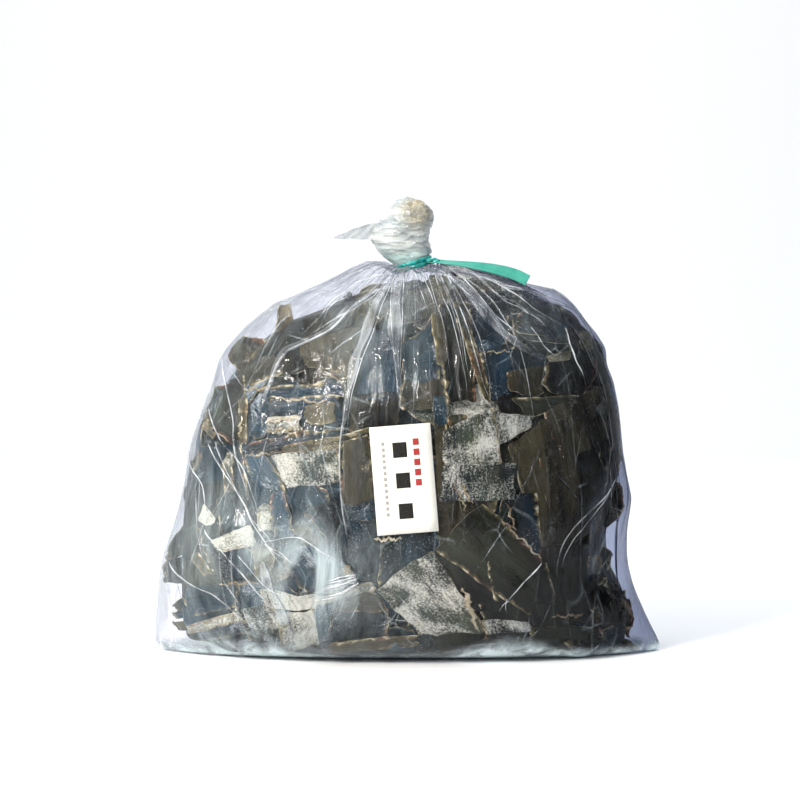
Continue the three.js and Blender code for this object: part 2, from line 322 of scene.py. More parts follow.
def heap_reach():
    """How far the kelp reaches from the heart in every direction of the globe."""
    points = globe * skin[..., None]
    x, y, z = points[..., 0], points[..., 1], points[..., 2] + HEART[2]
    cover = COVER + NECK_COVER * smoothstep(0.312, 0.338, z)
    cover += LEFT_SHOULDER * smoothstep(-0.01, -0.09, x) * smoothstep(0.215, 0.275, z)
    cover += RIGHT_SHOULDER * smoothstep(0.02, 0.06, x) * smoothstep(0.17, 0.10, x) * smoothstep(
        0.27, 0.31, z)
    cover += RIGHT_FOOT * smoothstep(0.150, 0.185, x) * smoothstep(0.03, 0.07, z) * smoothstep(
        0.180, 0.125, z)
    cover += (2 + 6 * smoothstep(0.02, 0.08, x)) * MM * smoothstep(0.022, 0.004, z)
    cover += LEFT_FOOT * smoothstep(-0.105, -0.135, x) * smoothstep(0.030, 0.010, z)
    reach = skin - cover
    sideways = np.where(globe[..., 0] < 0, CORNER_LEFT, CORNER_RIGHT)
    reach = np.minimum(reach, sideways / np.maximum(np.abs(globe[..., 0]), 1e-6))
    floor_gap = FLOOR_COVER + HOLLOW_RISE * hollow_at(x) * smoothstep(0.02, -0.06, y)
    down = (HEART[2] - floor_gap) / np.maximum(-globe[..., 2], 1e-6)
    return np.minimum(blur(reach, 6), down)


heap = heap_reach()
print("kelp reaches", round(float((globe[..., 0] * heap).max()), 3), "m to the right")

# %% [markdown]
# ## Laying the sheets
# Dried kelp is stiff. A sheet dropped on a pile bridges the hollows and rests on the high
# spots. So the pile is built from the inside out: the grid `pile` holds how deep under the
# kelp's skin the pile's top lies, each new sheet is laid on it as a plane that leans the way
# the ground leans, is bent where it must clear a high spot, gets its own waves and frilled
# margins, and then raises the pile. The sheets nearest the film go last.

# %% The pile
SHEET_THICKNESS = 1.1 * MM
SHEET_GAP = 0.5 * MM
pile = np.full((ROWS, COLUMNS), PILE_DEPTH)
sheets = {"blue": [], "olive": [], "brown": [], "bloom": [], "frill": []}


def average(grid):
    """Each cell as the mean of its four neighbours."""
    padded = np.pad(grid, 1, "edge")
    return (padded[2:, 1:-1] + padded[:-2, 1:-1] + padded[1:-1, 2:] + padded[1:-1, :-2]) / 4


def refined(grid, times):
    """A grid of values or vectors with cells this many times finer."""
    rows, columns = grid.shape[:2]
    r = np.linspace(0, rows - 1, rows * times)
    c = np.linspace(0, columns - 1, columns * times)
    r0, c0 = np.minimum(r.astype(int), rows - 2), np.minimum(c.astype(int), columns - 2)
    flat = (1,) * (grid.ndim - 2)
    fr, fc = (r - r0).reshape(-1, 1, *flat), (c - c0).reshape(1, -1, *flat)
    upper = grid[r0][:, c0] * (1 - fc) + grid[r0][:, c0 + 1] * fc
    lower = grid[r0 + 1][:, c0] * (1 - fc) + grid[r0 + 1][:, c0 + 1] * fc
    return upper * (1 - fr) + lower * fr


def raise_pile(directions, depth):
    """Marks the cells under a sheet with the depth of its outer face."""
    azimuth, elevation = angles(unit(refined(directions, 4)))
    column = np.round(azimuth / (2 * np.pi) * COLUMNS).astype(int)
    row = np.round((elevation / np.pi + 0.5) * (ROWS - 1)).astype(int)
    top = refined(depth, 4) - SHEET_THICKNESS - SHEET_GAP
    for step in (-1, 0, 1):
        np.minimum.at(pile, (row, (column + step) % COLUMNS), top)


# %% The outline and leather of a sheet
def spread(count):
    """Places from -1 to 1 that crowd towards both ends, where the frills are."""
    even = np.linspace(-1, 1, count)
    return 0.62 * np.sin(even * np.pi / 2) + 0.38 * even


def outline(s, t, raggedness, most_cut=0.22, most_bow=0.18):
    """Bows the sides of a sheet, takes its corners off and makes its cut edges uneven."""
    phase = rng.uniform(0, 2 * np.pi, 6)
    bow = rng.uniform(-0.6, 1.0, 4) * most_bow
    side = np.abs(s) ** 3 * np.sign(s)
    end = np.abs(t) ** 3 * np.sign(t)
    cut = rng.uniform(0, most_cut, 4)
    s = s * (1 - np.where(t > 0, cut[0], cut[1]) * np.abs(t) ** 7)
    t = t * (1 - np.where(s > 0, cut[2], cut[3]) * np.abs(s) ** 7)
    rough_s = raggedness * (np.sin(5 * t + phase[0]) + 0.7 * np.sin(11 * t + phase[1])
                            + 0.4 * np.sin(23 * t + phase[2]))
    rough_t = raggedness * (np.sin(4 * s + phase[3]) + 0.6 * np.sin(9 * s + phase[4]))
    return (s + side * (np.where(s > 0, bow[0], bow[1]) * (1 - t * t)) + np.abs(side) * rough_s,
            t + end * (np.where(t > 0, bow[2], bow[3]) * (1 - s * s)) + np.abs(end) * rough_t)


def leather(s, t):
    """Furrows along a dried blade, and corners that curl outwards, as depths."""
    furrow = rng.uniform(0.2, 0.9) * MM
    furrows = furrow * np.sin(rng.uniform(4, 9) * s + rng.uniform(0, 6) + 0.8 * np.sin(2 * t))
    curl = rng.uniform(0, 3.0, 4) * MM
    curled = (curl[0] * np.maximum(s, 0) ** 4 + curl[1] * np.maximum(-s, 0) ** 4
              + curl[2] * np.maximum(t, 0) ** 4 + curl[3] * np.maximum(-t, 0) ** 4)
    return furrows - curled


# %% Laying one sheet
OUTERMOST = 0.1 * MM          # how far over the kelp's skin the first sheet may stand
LATER = 0.08 * MM             # and how much farther the hundredth one
FILM_CLEARANCE = 1.4 * MM
PLAIN_MARGIN = 9              # keeps frills off a margin that was cut, in metres


def add_sheet(kind, points, s, t, size, margin, tone):
    """Puts a finished sheet on its kind's list, kept inside the film and over the floor."""
    offset = points - HEART
    distance = np.linalg.norm(offset, axis=-1)
    held = np.minimum(distance, sample(skin, unit(offset)) - FILM_CLEARANCE)
    points = HEART + offset * (held / distance)[..., None]
    points[..., 2] = np.maximum(points[..., 2], FLOOR_COVER)
    place = rng.uniform(0, 5, 2)
    grain = np.stack([s * size[0] / 2 + place[0], t * size[1] / 2 + place[1]], -1)
    sheets[kind].append({
        "shape": s.shape,
        "points": points.reshape(-1, 3),
        "margin": margin.ravel(),
        "tone": np.full(s.size, tone),
        "grain": grain.reshape(-1, 2),
    })


def lay_sheet(kind, directions, size, wave=3.0, frill=2.0, frills=(1, 1), tone=0.5, lift=0.0,
              ruffle=1.0):
    """Lays one sheet whose corners look along directions, an (rows, columns, 3) grid.

    size is its width and length, frills says which long margins are the frilled edge of the
    blade, wave and frill are heights in millimetres, and tone picks its shade."""
    rows, columns = directions.shape[:2]
    s, t = np.meshgrid(spread(columns), spread(rows))

    # The plane that fits the ground under the sheet, raised until it rests on it.
    ground = sample(pile, directions) - SHEET_GAP
    for _ in range(2):
        ground = np.minimum(ground, average(ground))
    plane_terms = np.stack([np.ones(s.size), s.ravel(), t.ravel()], 1)
    fit = np.linalg.lstsq(plane_terms, ground.ravel(), rcond=None)[0]
    depth = (plane_terms @ fit).reshape(s.shape)
    depth -= max(0.0, np.percentile(depth - ground, 75))

    # Waves, then bends over the high spots, then furrows.
    phase = rng.uniform(0, 2 * np.pi, 4)
    bend = rng.uniform(-1, 1, 3)
    depth -= wave * MM * (
        0.55 * np.sin(1.7 * s + 0.8 * t + phase[0]) + 0.35 * np.sin(2.9 * t - 1.1 * s + phase[1])
        + 0.5 * bend[0] * (s * s - 0.4) + 0.5 * bend[1] * (t * t - 0.4) + 0.4 * bend[2] * s * t)
    for _ in range(10):
        depth = np.minimum(0.4 * depth + 0.6 * average(depth), ground)
    depth = np.minimum(depth + leather(s, t), ground)

    # Frills that die away 6 mm in from the margins of the blade.
    margin = np.minimum(
        (1 - s) / 2 * size[0] + (0 if frills[1] else PLAIN_MARGIN),
        (1 + s) / 2 * size[0] + (0 if frills[0] else PLAIN_MARGIN))
    ruffles = np.exp(-margin / (6 * MM))
    run = t * size[1] / 2
    swing = 0.5 + 0.5 * np.sin(run / (13 * MM) + phase[1])
    depth += frill * MM * ruffles * (swing * np.sin(run * ruffle / (3.1 * MM) + phase[2] + 2 * s)
                                     + 0.7 * np.sin(run * ruffle / (6.7 * MM) + phase[3]))
    laid = sum(len(each) for each in sheets.values())
    depth = np.maximum(depth - lift * MM, -OUTERMOST - LATER * (laid / 100) ** 2)
    points = HEART + directions * (sample(heap, directions) - depth)[..., None]
    raise_pile(directions, depth)
    add_sheet(kind, points, s, t, size, margin, tone)


def random_sheet(kind, anchor, turn, width, length, **details):
    """A sheet somewhere on the pile, turned about the line of sight from the heart."""
    rows = max(14, int(length / (4.2 * MM)))
    columns = max(10, int(width / (4.0 * MM)))
    s, t = np.meshgrid(spread(columns), spread(rows))
    taper = rng.uniform(-0.22, 0.22)
    skew = rng.uniform(-0.25, 0.25)
    u, v = outline(s, t, 0.030)
    x = (u * (1 + taper * v) + skew * v) * width / 2
    y = v * length / 2
    middle = anchor * sample(heap, anchor)
    step = 4 * MM
    east = unit(np.array((-anchor[1], anchor[0], 1e-9)))
    north = np.cross(anchor, east)

    def on_heap(shift):
        """The heap's skin beside the middle."""
        look = unit(middle + shift)
        return look * sample(heap, look)

    across = unit(on_heap(east * step) - on_heap(-east * step))
    upward = unit(on_heap(north * step) - on_heap(-north * step))
    upward = unit(upward - across * np.dot(upward, across))
    a = across * math.cos(turn) + upward * math.sin(turn)
    b = upward * math.cos(turn) - across * math.sin(turn)
    directions = unit(middle + x[..., None] * a + y[..., None] * b)
    lay_sheet(kind, directions, (width, length), **details)


# %% [markdown]
# Most sheets are laid by a rule: out of a handful of random spots the one where the pile is
# lowest gets the next sheet, so the bag fills evenly. On the left the blades are blue-black,
# on the right olive and brown, and some anywhere carry the pale salt bloom of good kelp. The
# kinds are the kelp's own, but their gathering paints the sky's reflection as blue on the left
# and shade as olive on the right.

# %% Filling the bag
FILL_LEVEL = 11.0 * MM       # the front is left this deep for the sheets laid by hand
FILL_SHEETS = 290


def choose_kind(x):
    """A kind of sheet drawn by its share this far to the right: blue gathers on the left as a
    painted sky reflection, and olive on the right as painted shade.
    """
    # More blue to the left paints the sky's reflection, more olive to the right paints shade.
    blue = 0.52 - 2.4 * x
    shares = np.clip([blue, 0.32 + 2.0 * x, 0.15, 0.11], 0.04, None)
    return str(rng.choice(["blue", "olive", "brown", "bloom"], p=shares / shares.sum()))


def lowest_spot(tries):
    """Of a few random spots the one where the pile lies deepest, and that depth."""
    looks = unit(rng.normal(size=(tries, 3)) * (1.0, 1.0, 0.9))
    looks = looks[looks[:, 2] < 0.955]
    depths = sample(spot_pile, looks)
    front = smoothstep(-0.15, -0.35, looks[:, 1]) * FILL_LEVEL
    best = np.argmax(depths - front)
    return looks[best], depths[best] - front[best]


for count in range(FILL_SHEETS):
    if count % 5 == 0:
        spot_pile = blur(pile, 6)
    anchor, low = lowest_spot(14)
    if low < 2.0 * MM:
        continue
    width = rng.uniform(38, 84) * MM
    length = max(width, rng.uniform(55, 140) * MM)
    random_sheet(
        choose_kind(float(anchor[0] * sample(heap, anchor))), anchor,
        rng.uniform(-0.9, 0.9) + (0 if rng.random() < 0.4 else math.pi / 2), width, length,
        wave=rng.uniform(2, 8), frill=rng.uniform(0.3, 2.6),
        frills=(rng.random() < 0.7, rng.random() < 0.6), tone=rng.random())
print("filled with", {kind: len(laid) for kind, laid in sheets.items()})

# %% [markdown]
# The sheets that catch the eye at the front are listed one by one, the deepest first. Each is
# given by the frame pixels of its four corners, clockwise from one cut end of the blade: the
# first two are one end and the last two the other, so the long margins run between them. A
# bisection along each line of sight finds where it meets the kelp's skin.

# %% The sheets at the front
# what the sheet is, its kind, corners, waves, frill, which margins are frilled, and tone
FRONT_SHEETS = [
    ("left_wall_high", "blue", (200, 448, 240, 440, 250, 500, 188, 502), 4, 3, (1, 1), 0.3),
    ("left_wall_mid", "olive", (186, 486, 240, 480, 252, 535, 178, 540), 4, 3, (1, 0), 0.4),
    ("left_wall_low", "blue", (168, 548, 225, 540, 232, 600, 186, 606), 4, 3, (1, 1), 0.2),
    ("under_card_left", "blue", (322, 520, 385, 520, 400, 590, 335, 588), 4, 2, (1, 0), 0.1),
    ("under_card", "blue", (384, 530, 452, 520, 446, 566, 378, 590), 3, 1, (1, 0), 0.3),
    ("beside_card", "brown", (434, 420, 447, 418, 446, 500, 436, 500), 3, 1, (0, 1), 0.2),
    ("beside_card_low", "brown", (436, 490, 500, 480, 490, 540, 440, 550), 3, 1, (0, 1), 0.4),
    ("centre_deep", "blue", (366, 330, 400, 325, 402, 400, 356, 400), 5, 1, (0, 0), 0.5),
    ("centre_low", "brown", (346, 398, 400, 394, 398, 428, 345, 430), 3, 1, (0, 0), 0.1),
    ("neck_high_left", "brown", (352, 294, 396, 276, 402, 300, 358, 318), 3, 1, (0, 0), 0.8),
    ("neck_high", "olive", (394, 275, 456, 272, 460, 304, 398, 306), 3, 1, (0, 0), 0.2),
    ("neck_high_right", "brown", (428, 276, 500, 284, 504, 312, 430, 306), 3, 1, (0, 0), 0.5),
    ("neck_left", "brown", (337, 302, 380, 290, 384, 318, 344, 330), 3, 1, (0, 0), 0.9),
    ("neck_middle", "brown", (382, 290, 432, 290, 436, 318, 384, 326), 3, 1, (0, 0), 0.4),
    ("top_dark", "olive", (290, 314, 350, 290, 352, 320, 298, 342), 3, 1, (0, 0), 0.1),
    ("shoulder_back", "olive", (262, 334, 300, 318, 306, 372, 262, 376), 3, 1, (0, 0), 0.2),
    ("smooth_top", "brown", (303, 318, 345, 301, 352, 326, 308, 342), 3, 1, (0, 0), 0.3),
    ("grey_bulge", "brown", (300, 344, 366, 322, 354, 348, 308, 370), 5, 1, (0, 0), 0.6),
    ("black_corner", "olive", (346, 353, 364, 328, 368, 348, 352, 358), 2, 1, (0, 0), 0.0),
    ("rust_patch", "brown", (325, 357, 350, 350, 354, 373, 331, 377), 3, 4, (1, 1), 1.0),
    ("behind_finger", "olive", (291, 317, 306, 315, 310, 333, 289, 334), 3, 1, (0, 0), 0.0),
    ("leather", "brown", (268, 335, 285, 374, 243, 391, 227, 350), 7, 2, (0, 1), 0.35),
    ("arm", "olive", (277, 332, 293, 329, 262, 372, 247, 362), 3, 1, (1, 0), 0.5),
    ("left_leather", "olive", (212, 386, 246, 374, 248, 446, 206, 418), 5, 1, (1, 1), 0.6),
    ("tube", "brown", (239, 400, 249, 398, 248, 440, 240, 442), 4, 2, (1, 1), 0.9),
    ("band_one", "blue", (334, 375, 339, 398, 272, 400, 268, 388), 4, 2, (1, 0), 0.4),
    ("band_two", "blue", (339, 395, 339, 424, 266, 422, 271, 400), 3, 3, (1, 0), 0.3),
    ("tan_patch", "brown", (336, 402, 338, 424, 303, 422, 306, 406), 3, 3, (1, 1), 0.95),
    ("ruffle", "bloom", (264, 432, 270, 417, 301, 415, 301, 434), 5, 6, (1, 1), 0.5),
    ("band_three", "blue", (338, 424, 342, 438, 250, 458, 254, 442), 3, 3, (1, 1), 0.3),
    ("stack_one", "olive", (371, 426, 372, 434, 312, 452, 310, 446), 3, 1, (1, 1), 0.8),
    ("stack_two", "brown", (368, 434, 370, 444, 318, 452, 316, 448), 3, 1, (1, 0), 0.9),
    ("gold_strip", "brown", (342, 436, 345, 448, 284, 456, 283, 446), 3, 1, (1, 1), 1.0),
    ("behind_gold", "brown", (342, 446, 372, 440, 374, 500, 340, 505), 4, 3, (1, 1), 0.6),
    ("blue_flap", "blue", (245, 455, 269, 457, 287, 492, 254, 482), 3, 1, (1, 1), 0.9),
    ("powder_left", "bloom", (273, 455, 339, 449, 342, 482, 290, 492), 3, 2, (0, 1), 0.3),
    ("left_streak", "bloom", (222, 452, 232, 452, 236, 498, 226, 498), 3, 2, (1, 1), 0.5),
    ("left_tan", "bloom", (199, 520, 205, 503, 218, 520, 208, 526), 2, 1, (1, 1), 0.9),
    ("navy_left", "blue", (216, 499, 241, 489, 256, 525, 221, 532), 4, 1, (1, 0), 0.2),
    ("tan_column", "bloom", (258, 506, 271, 505, 272, 530, 259, 532), 3, 2, (1, 1), 0.6),
    ("teal_column", "blue", (271, 494, 287, 492, 290, 540, 273, 542), 3, 1, (1, 1), 0.9),
    ("navy_spots", "blue", (286, 488, 322, 486, 330, 502, 300, 516), 3, 1, (0, 1), 0.5),
    ("navy_pocket", "blue", (300, 513, 342, 497, 347, 548, 328, 538), 4, 1, (1, 0), 0.2),
    ("tan_flap", "brown", (289, 527, 304, 525, 336, 562, 300, 542), 3, 2, (1, 0), 0.9),
    ("pocket_floor", "blue", (276, 545, 330, 545, 356, 580, 300, 600), 3, 1, (1, 0), 0.9),
    ("leather_low", "olive", (168, 540, 200, 524, 206, 556, 170, 562), 6, 3, (1, 1), 0.5),
    ("olive_low", "olive", (166, 562, 214, 556, 224, 584, 180, 588), 4, 1, (1, 0), 0.9),
    ("navy_lens", "blue", (204, 544, 253, 548, 256, 575, 222, 583), 4, 2, (1, 1), 0.2),
    ("left_curl", "brown", (191, 556, 200, 551, 214, 574, 205, 576), 3, 3, (1, 1), 1.0),
    ("lens", "bloom", (252, 523, 260, 545, 222, 552, 212, 540), 2, 1, (0, 1), 0.8),
    ("rust_knot", "brown", (253, 546, 268, 544, 272, 580, 256, 578), 4, 5, (1, 1), 1.0),
    ("rust_tab", "brown", (270, 567, 283, 566, 285, 582, 272, 582), 3, 3, (1, 1), 1.0),
    ("navy_corner", "blue", (238, 582, 242, 606, 196, 616, 186, 588), 4, 2, (0, 1), 0.4),
    ("teal_low", "blue", (238, 580, 300, 592, 290, 628, 236, 612), 4, 2, (1, 1), 0.7),
    ("olive_strip", "bloom", (243, 610, 241, 621, 186, 634, 184, 626), 3, 2, (1, 1), 0.5),
    ("blue_strip", "blue", (250, 618, 250, 632, 206, 640, 204, 628), 3, 2, (1, 1), 1.0),
    ("low_band", "bloom", (236, 610, 268, 600, 296, 640, 258, 646), 3, 2, (1, 1), 0.3),
    ("pocket_rim", "bloom", (262, 586, 316, 602, 318, 613, 268, 606), 2, 2, (1, 1), 0.9),
    ("pocket_rim_right", "bloom", (318, 600, 372, 586, 374, 596, 320, 612), 2, 2, (1, 1), 0.9),
    ("powder_corner", "bloom", (279, 611, 314, 608, 323, 645, 284, 653), 1, 0.5, (1, 1), 0.85),
    ("teal_strip", "blue", (314, 608, 334, 607, 332, 646, 322, 650), 2, 1, (0, 0), 1.0),
    ("navy_jagged", "blue", (332, 610, 388, 617, 388, 648, 326, 648), 3, 3, (0, 1), 0.2),
    ("brown_low", "brown", (372, 591, 390, 616, 344, 614, 332, 602), 3, 1, (0, 1), 0.6),
    ("gold_low", "brown", (418, 634, 420, 645, 330, 652, 330, 642), 3, 2, (1, 1), 0.8),
    ("neck_right", "olive", (445, 292, 520, 292, 515, 330, 450, 330), 4, 2, (1, 1), 0.3),
    ("shoulder_right", "olive", (510, 296, 560, 306, 575, 345, 512, 340), 5, 3, (1, 1), 0.2),
    ("shoulder_blue", "blue", (520, 312, 566, 324, 560, 340, 516, 334), 3, 1, (1, 1), 0.2),
    ("shoulder_edge", "olive", (566, 316, 600, 345, 613, 390, 572, 384), 3, 1, (0, 0), 0.1),
    ("tan_edge", "brown", (577, 332, 590, 332, 592, 350, 579, 350), 2, 3, (1, 1), 1.0),
    ("navy_top", "blue", (464, 316, 508, 316, 510, 345, 470, 342), 3, 1, (0, 1), 0.2),
    ("slate", "blue", (470, 336, 512, 352, 508, 378, 482, 376), 3, 1, (1, 0), 0.6),
    ("blue_middle", "blue", (478, 352, 520, 352, 512, 398, 484, 398), 3, 1, (1, 0), 0.5),
    ("navy_right", "blue", (508, 350, 550, 348, 546, 372, 510, 374), 3, 1, (0, 0), 0.1),
    ("grey_right", "brown", (504, 373, 548, 364, 548, 392, 506, 392), 3, 1, (1, 0), 0.5),
    ("black_right", "olive", (548, 360, 596, 358, 584, 396, 546, 392), 5, 3, (1, 1), 0.0),
    # A black sheet where a gap between sheets lies in shade: painted shade.
    ("gap_right", "olive", (498, 396, 532, 398, 532, 418, 500, 414), 2, 1, (0, 0), 0.0),
    ("shelf", "olive", (582, 395, 545, 413, 531, 417, 508, 399), 2, 1, (1, 1), 0.9),
    ("rust_tip", "brown", (546, 357, 568, 352, 569, 361, 550, 363), 2, 3, (1, 1), 1.0),
    ("cream_curve", "blue", (434, 315, 440, 342, 410, 345, 409, 334), 3, 1, (1, 0), 0.6),
    ("middle_navy", "blue", (402, 342, 440, 340, 442, 380, 402, 382), 4, 2, (0, 1), 0.3),
    ("middle_low", "brown", (402, 384, 446, 380, 446, 410, 402, 412), 3, 1, (1, 1), 0.3),
    ("dark_panel", "olive", (438, 306, 470, 304, 478, 400, 446, 402), 3, 1, (1, 1), 0.1),
    ("ochre_patch", "brown", (452, 303, 467, 303, 468, 334, 458, 334), 2, 1, (1, 1), 1.0),
    ("strip_a", "brown", (430, 315, 441, 313, 448, 360, 438, 364), 2, 2, (1, 0), 0.6),
    ("strip_b", "brown", (460, 330, 470, 330, 491, 397, 482, 397), 2, 3, (1, 1), 0.6),
    ("blue_by_card", "blue", (433, 397, 447, 396, 448, 424, 434, 424), 2, 1, (0, 1), 0.7),
    ("nub", "olive", (446, 418, 466, 414, 468, 427, 450, 431), 2, 1, (1, 1), 0.7),
    ("edge_right", "brown", (596, 455, 618, 462, 622, 530, 592, 530), 5, 2, (1, 1), 0.3),
    ("wall_right", "olive", (592, 396, 617, 400, 620, 466, 590, 460), 3, 1, (0, 1), 0.3),
    ("fold_right", "olive", (545, 440, 612, 440, 600, 520, 552, 566), 7, 1, (0, 1), 0.4),
    ("slab", "brown", (541, 414, 606, 384, 617, 432, 564, 463), 3, 1, (1, 0), 0.5),
    ("fold_middle", "brown", (537, 420, 566, 420, 582, 500, 542, 556), 6, 1, (1, 0), 0.2),
    ("fold_left", "brown", (509, 446, 540, 424, 550, 500, 541, 557), 5, 1, (1, 0), 0.5),
    ("dark_behind", "blue", (500, 500, 536, 492, 542, 560, 508, 552), 3, 2, (1, 1), 0.0),
    ("grey_block", "bloom", (443, 463, 516, 463, 514, 500, 440, 502), 3, 1, (0, 0), 0.1),
    ("powder_wedge", "bloom", (495, 413, 533, 417, 530, 428, 499, 446), 2, 0.5, (0, 0), 0.4),
    ("powder_right", "bloom", (443, 431, 493, 407, 501, 465, 443, 465), 1, 0.5, (0, 1), 0.4),
    ("blue_low_right", "blue", (592, 548, 603, 552, 592, 582, 584, 576), 3, 1, (0, 0), 0.6),
    ("brown_low_right", "brown", (586, 556, 600, 554, 598, 574, 586, 574), 3, 2, (1, 1), 0.7),
    ("black_ruffle", "olive", (560, 580, 612, 582, 626, 622, 566, 626), 6, 5, (1, 1), 0.0),
    ("bottom_rim", "olive", (436, 630, 540, 628, 544, 648, 436, 652), 3, 1, (0, 0), 0.3),
    ("bottom_dark", "olive", (478, 602, 560, 590, 575, 640, 486, 640), 4, 1, (1, 0), 0.2),
    ("bottom_curve", "olive", (534, 626, 606, 628, 600, 652, 534, 644), 6, 1, (1, 0), 0.6),
    ("behind_olive", "olive", (430, 550, 474, 560, 504, 612, 440, 606), 3, 1, (0, 0), 0.2),
    ("dark_low", "olive", (538, 546, 592, 544, 590, 592, 544, 598), 3, 1, (0, 0), 0.05),
    ("olive_tail", "olive", (486, 560, 545, 562, 556, 604, 494, 600), 4, 2, (1, 1), 0.3),
    ("big_olive", "olive", (434, 549, 481, 502, 540, 560, 529, 616), 3, 1, (1, 1), 0.5),
    ("diamond", "bloom", (375, 590, 431, 549, 486, 630, 420, 636), 2, 0.6, (0, 1), 0.35),
    ("pale_curve", "bloom", (480, 618, 530, 621, 531, 630, 486, 633), 3, 3, (1, 1), 0.3),
]

# %% Helpers for sheets at the front
PIXEL = 1 / 1.11 * MM         # what a frame pixel spans in the bag's middle plane
SHEET_STEP = 2.4 * MM         # the mesh of these sheets,
FRILL_STEP = 1.2 * MM         # and along a frill, which bends much more
LARGE_SHEET = (40 * MM) ** 2  # from this area on a sheet's outline is cut more evenly


def looks_through(pixels, form):
    """Where each pixel's line of sight first meets a form, as directions from the heart."""
    lines = sight_lines(pixels)
    near = np.full(pixels.shape[:-1], CAMERA_DISTANCE - 0.25)
    far = np.full(pixels.shape[:-1], CAMERA_DISTANCE + 0.02)
    for _ in range(24):
        middle = (near + far) / 2
        offset = EYE + lines * middle[..., None] - HEART
        outside = np.linalg.norm(offset, axis=-1) > sample(form, unit(offset))
        near, far = np.where(outside, middle, near), np.where(outside, far, middle)
    return unit(EYE + lines * near[..., None] - HEART)


def between_corners(corners, s, t):
    """Places in a patch with four corners, at shares s across and t along it, from -1 to 1."""
    a, b, c, d = corners
    u, v = ((s + 1) / 2)[..., None], ((t + 1) / 2)[..., None]
    return (a * (1 - u) + b * u) * (1 - v) + (d * (1 - u) + c * u) * v


def patch_size(corners):
    """The mean width and length of a patch."""
    a, b, c, d = corners
    return np.linalg.norm(b - a + c - d) / 2, np.linalg.norm(d - a + c - b) / 2


def front_sheet(kind, corners, wave, frill, frills, tone):
    """Lays one sheet of the table, or a frill, a narrow strip that winds and stands out."""
    corners = np.array(corners, float).reshape(4, 2)
    width, length = np.array(patch_size(corners)) * PIXEL
    is_frill = kind == "frill"
    if is_frill and width > length:
        corners, width, length = np.roll(corners, -1, 0), length, width
    rows = max(14, int(length / (FRILL_STEP if is_frill else SHEET_STEP)))
    columns = max(6 if is_frill else 12, int(width / SHEET_STEP))
    s, t = np.meshgrid(spread(columns), spread(rows))
    large = width * length > LARGE_SHEET
    u, v = outline(s, t, 0.020, 0.04, 0.05) if large else outline(s, t, 0.036)
    if is_frill:
        turns = rng.uniform(0, 2 * np.pi, 3)
        wiggle = (1.1 * np.sin(7 * v + turns[0]) + 0.8 * np.sin(17 * v + turns[1])
                  + 0.5 * np.sin(31 * v + turns[2])) * MM
        u = u * (1 - 0.6 * np.abs(v) ** 3) * 0.55 + wiggle * 2 / width
    directions = looks_through(between_corners(corners, u, v), heap)
    lay_sheet(kind, directions, (width, length), wave=1.5 * wave, frill=frill, frills=frills,
              tone=tone, lift=1.5 if is_frill else 0.0, ruffle=2.8 if is_frill else 1.0)


for _, *sheet in FRONT_SHEETS:
    front_sheet(*sheet)
print("laid", len(FRONT_SHEETS), "sheets at the front")

# %% Frills at the front
# what the frill is, its corners and its height in mm
FRONT_FRILLS = [
    ("curled_line", (272, 397, 272, 400, 328, 405, 328, 402), 1.1),
    ("ruffle_one", (268, 421, 297, 416, 300, 420, 270, 425), 1.9),
    ("ruffle_two", (270, 430, 300, 427, 301, 431, 271, 434), 1.6),
    ("top_edge", (244, 388, 270, 388, 270, 392, 245, 392), 1.1),
    ("pink_edge", (250, 455, 276, 451, 276, 454, 251, 458), 0.9),
    ("navy_foot", (222, 582, 258, 580, 258, 583, 224, 585), 0.7),
    ("under_card_rim", (374, 537, 402, 536, 401, 540, 375, 542), 1.2),
    ("edge_rust", (498, 520, 501, 518, 541, 556, 538, 559), 0.9),
    ("diamond_rust", (457, 588, 470, 590, 480, 628, 474, 630), 1.5),
    ("shelf_line", (480, 353, 508, 352, 508, 354, 480, 355), 0.4),
    ("pocket_rust", (338, 566, 354, 563, 359, 581, 346, 580), 1.6),
    ("wavy_line", (552, 614, 580, 613, 580, 616, 552, 617), 1.4),
    ("fray_one", (452, 483, 455, 482, 466, 508, 463, 509), 1.4),
    ("fray_two", (460, 486, 463, 485, 472, 502, 469, 503), 1.4),
    ("fray_dark", (505, 505, 508, 504, 516, 530, 513, 531), 1.4),
    ("left_hook", (241, 420, 245, 419, 243, 438, 239, 439), 1.1),
]
for _, corners, frill in FRONT_FRILLS:
    front_sheet("frill", corners, 1.5, frill, (1, 1), rng.random())
print("and", len(FRONT_FRILLS), "frills")

# %% [markdown]
# Along the outline single sheets stand on edge between heap and film. Each lies in a plane
# across the view, some millimetres to the back, and the film holds back what would stick out.

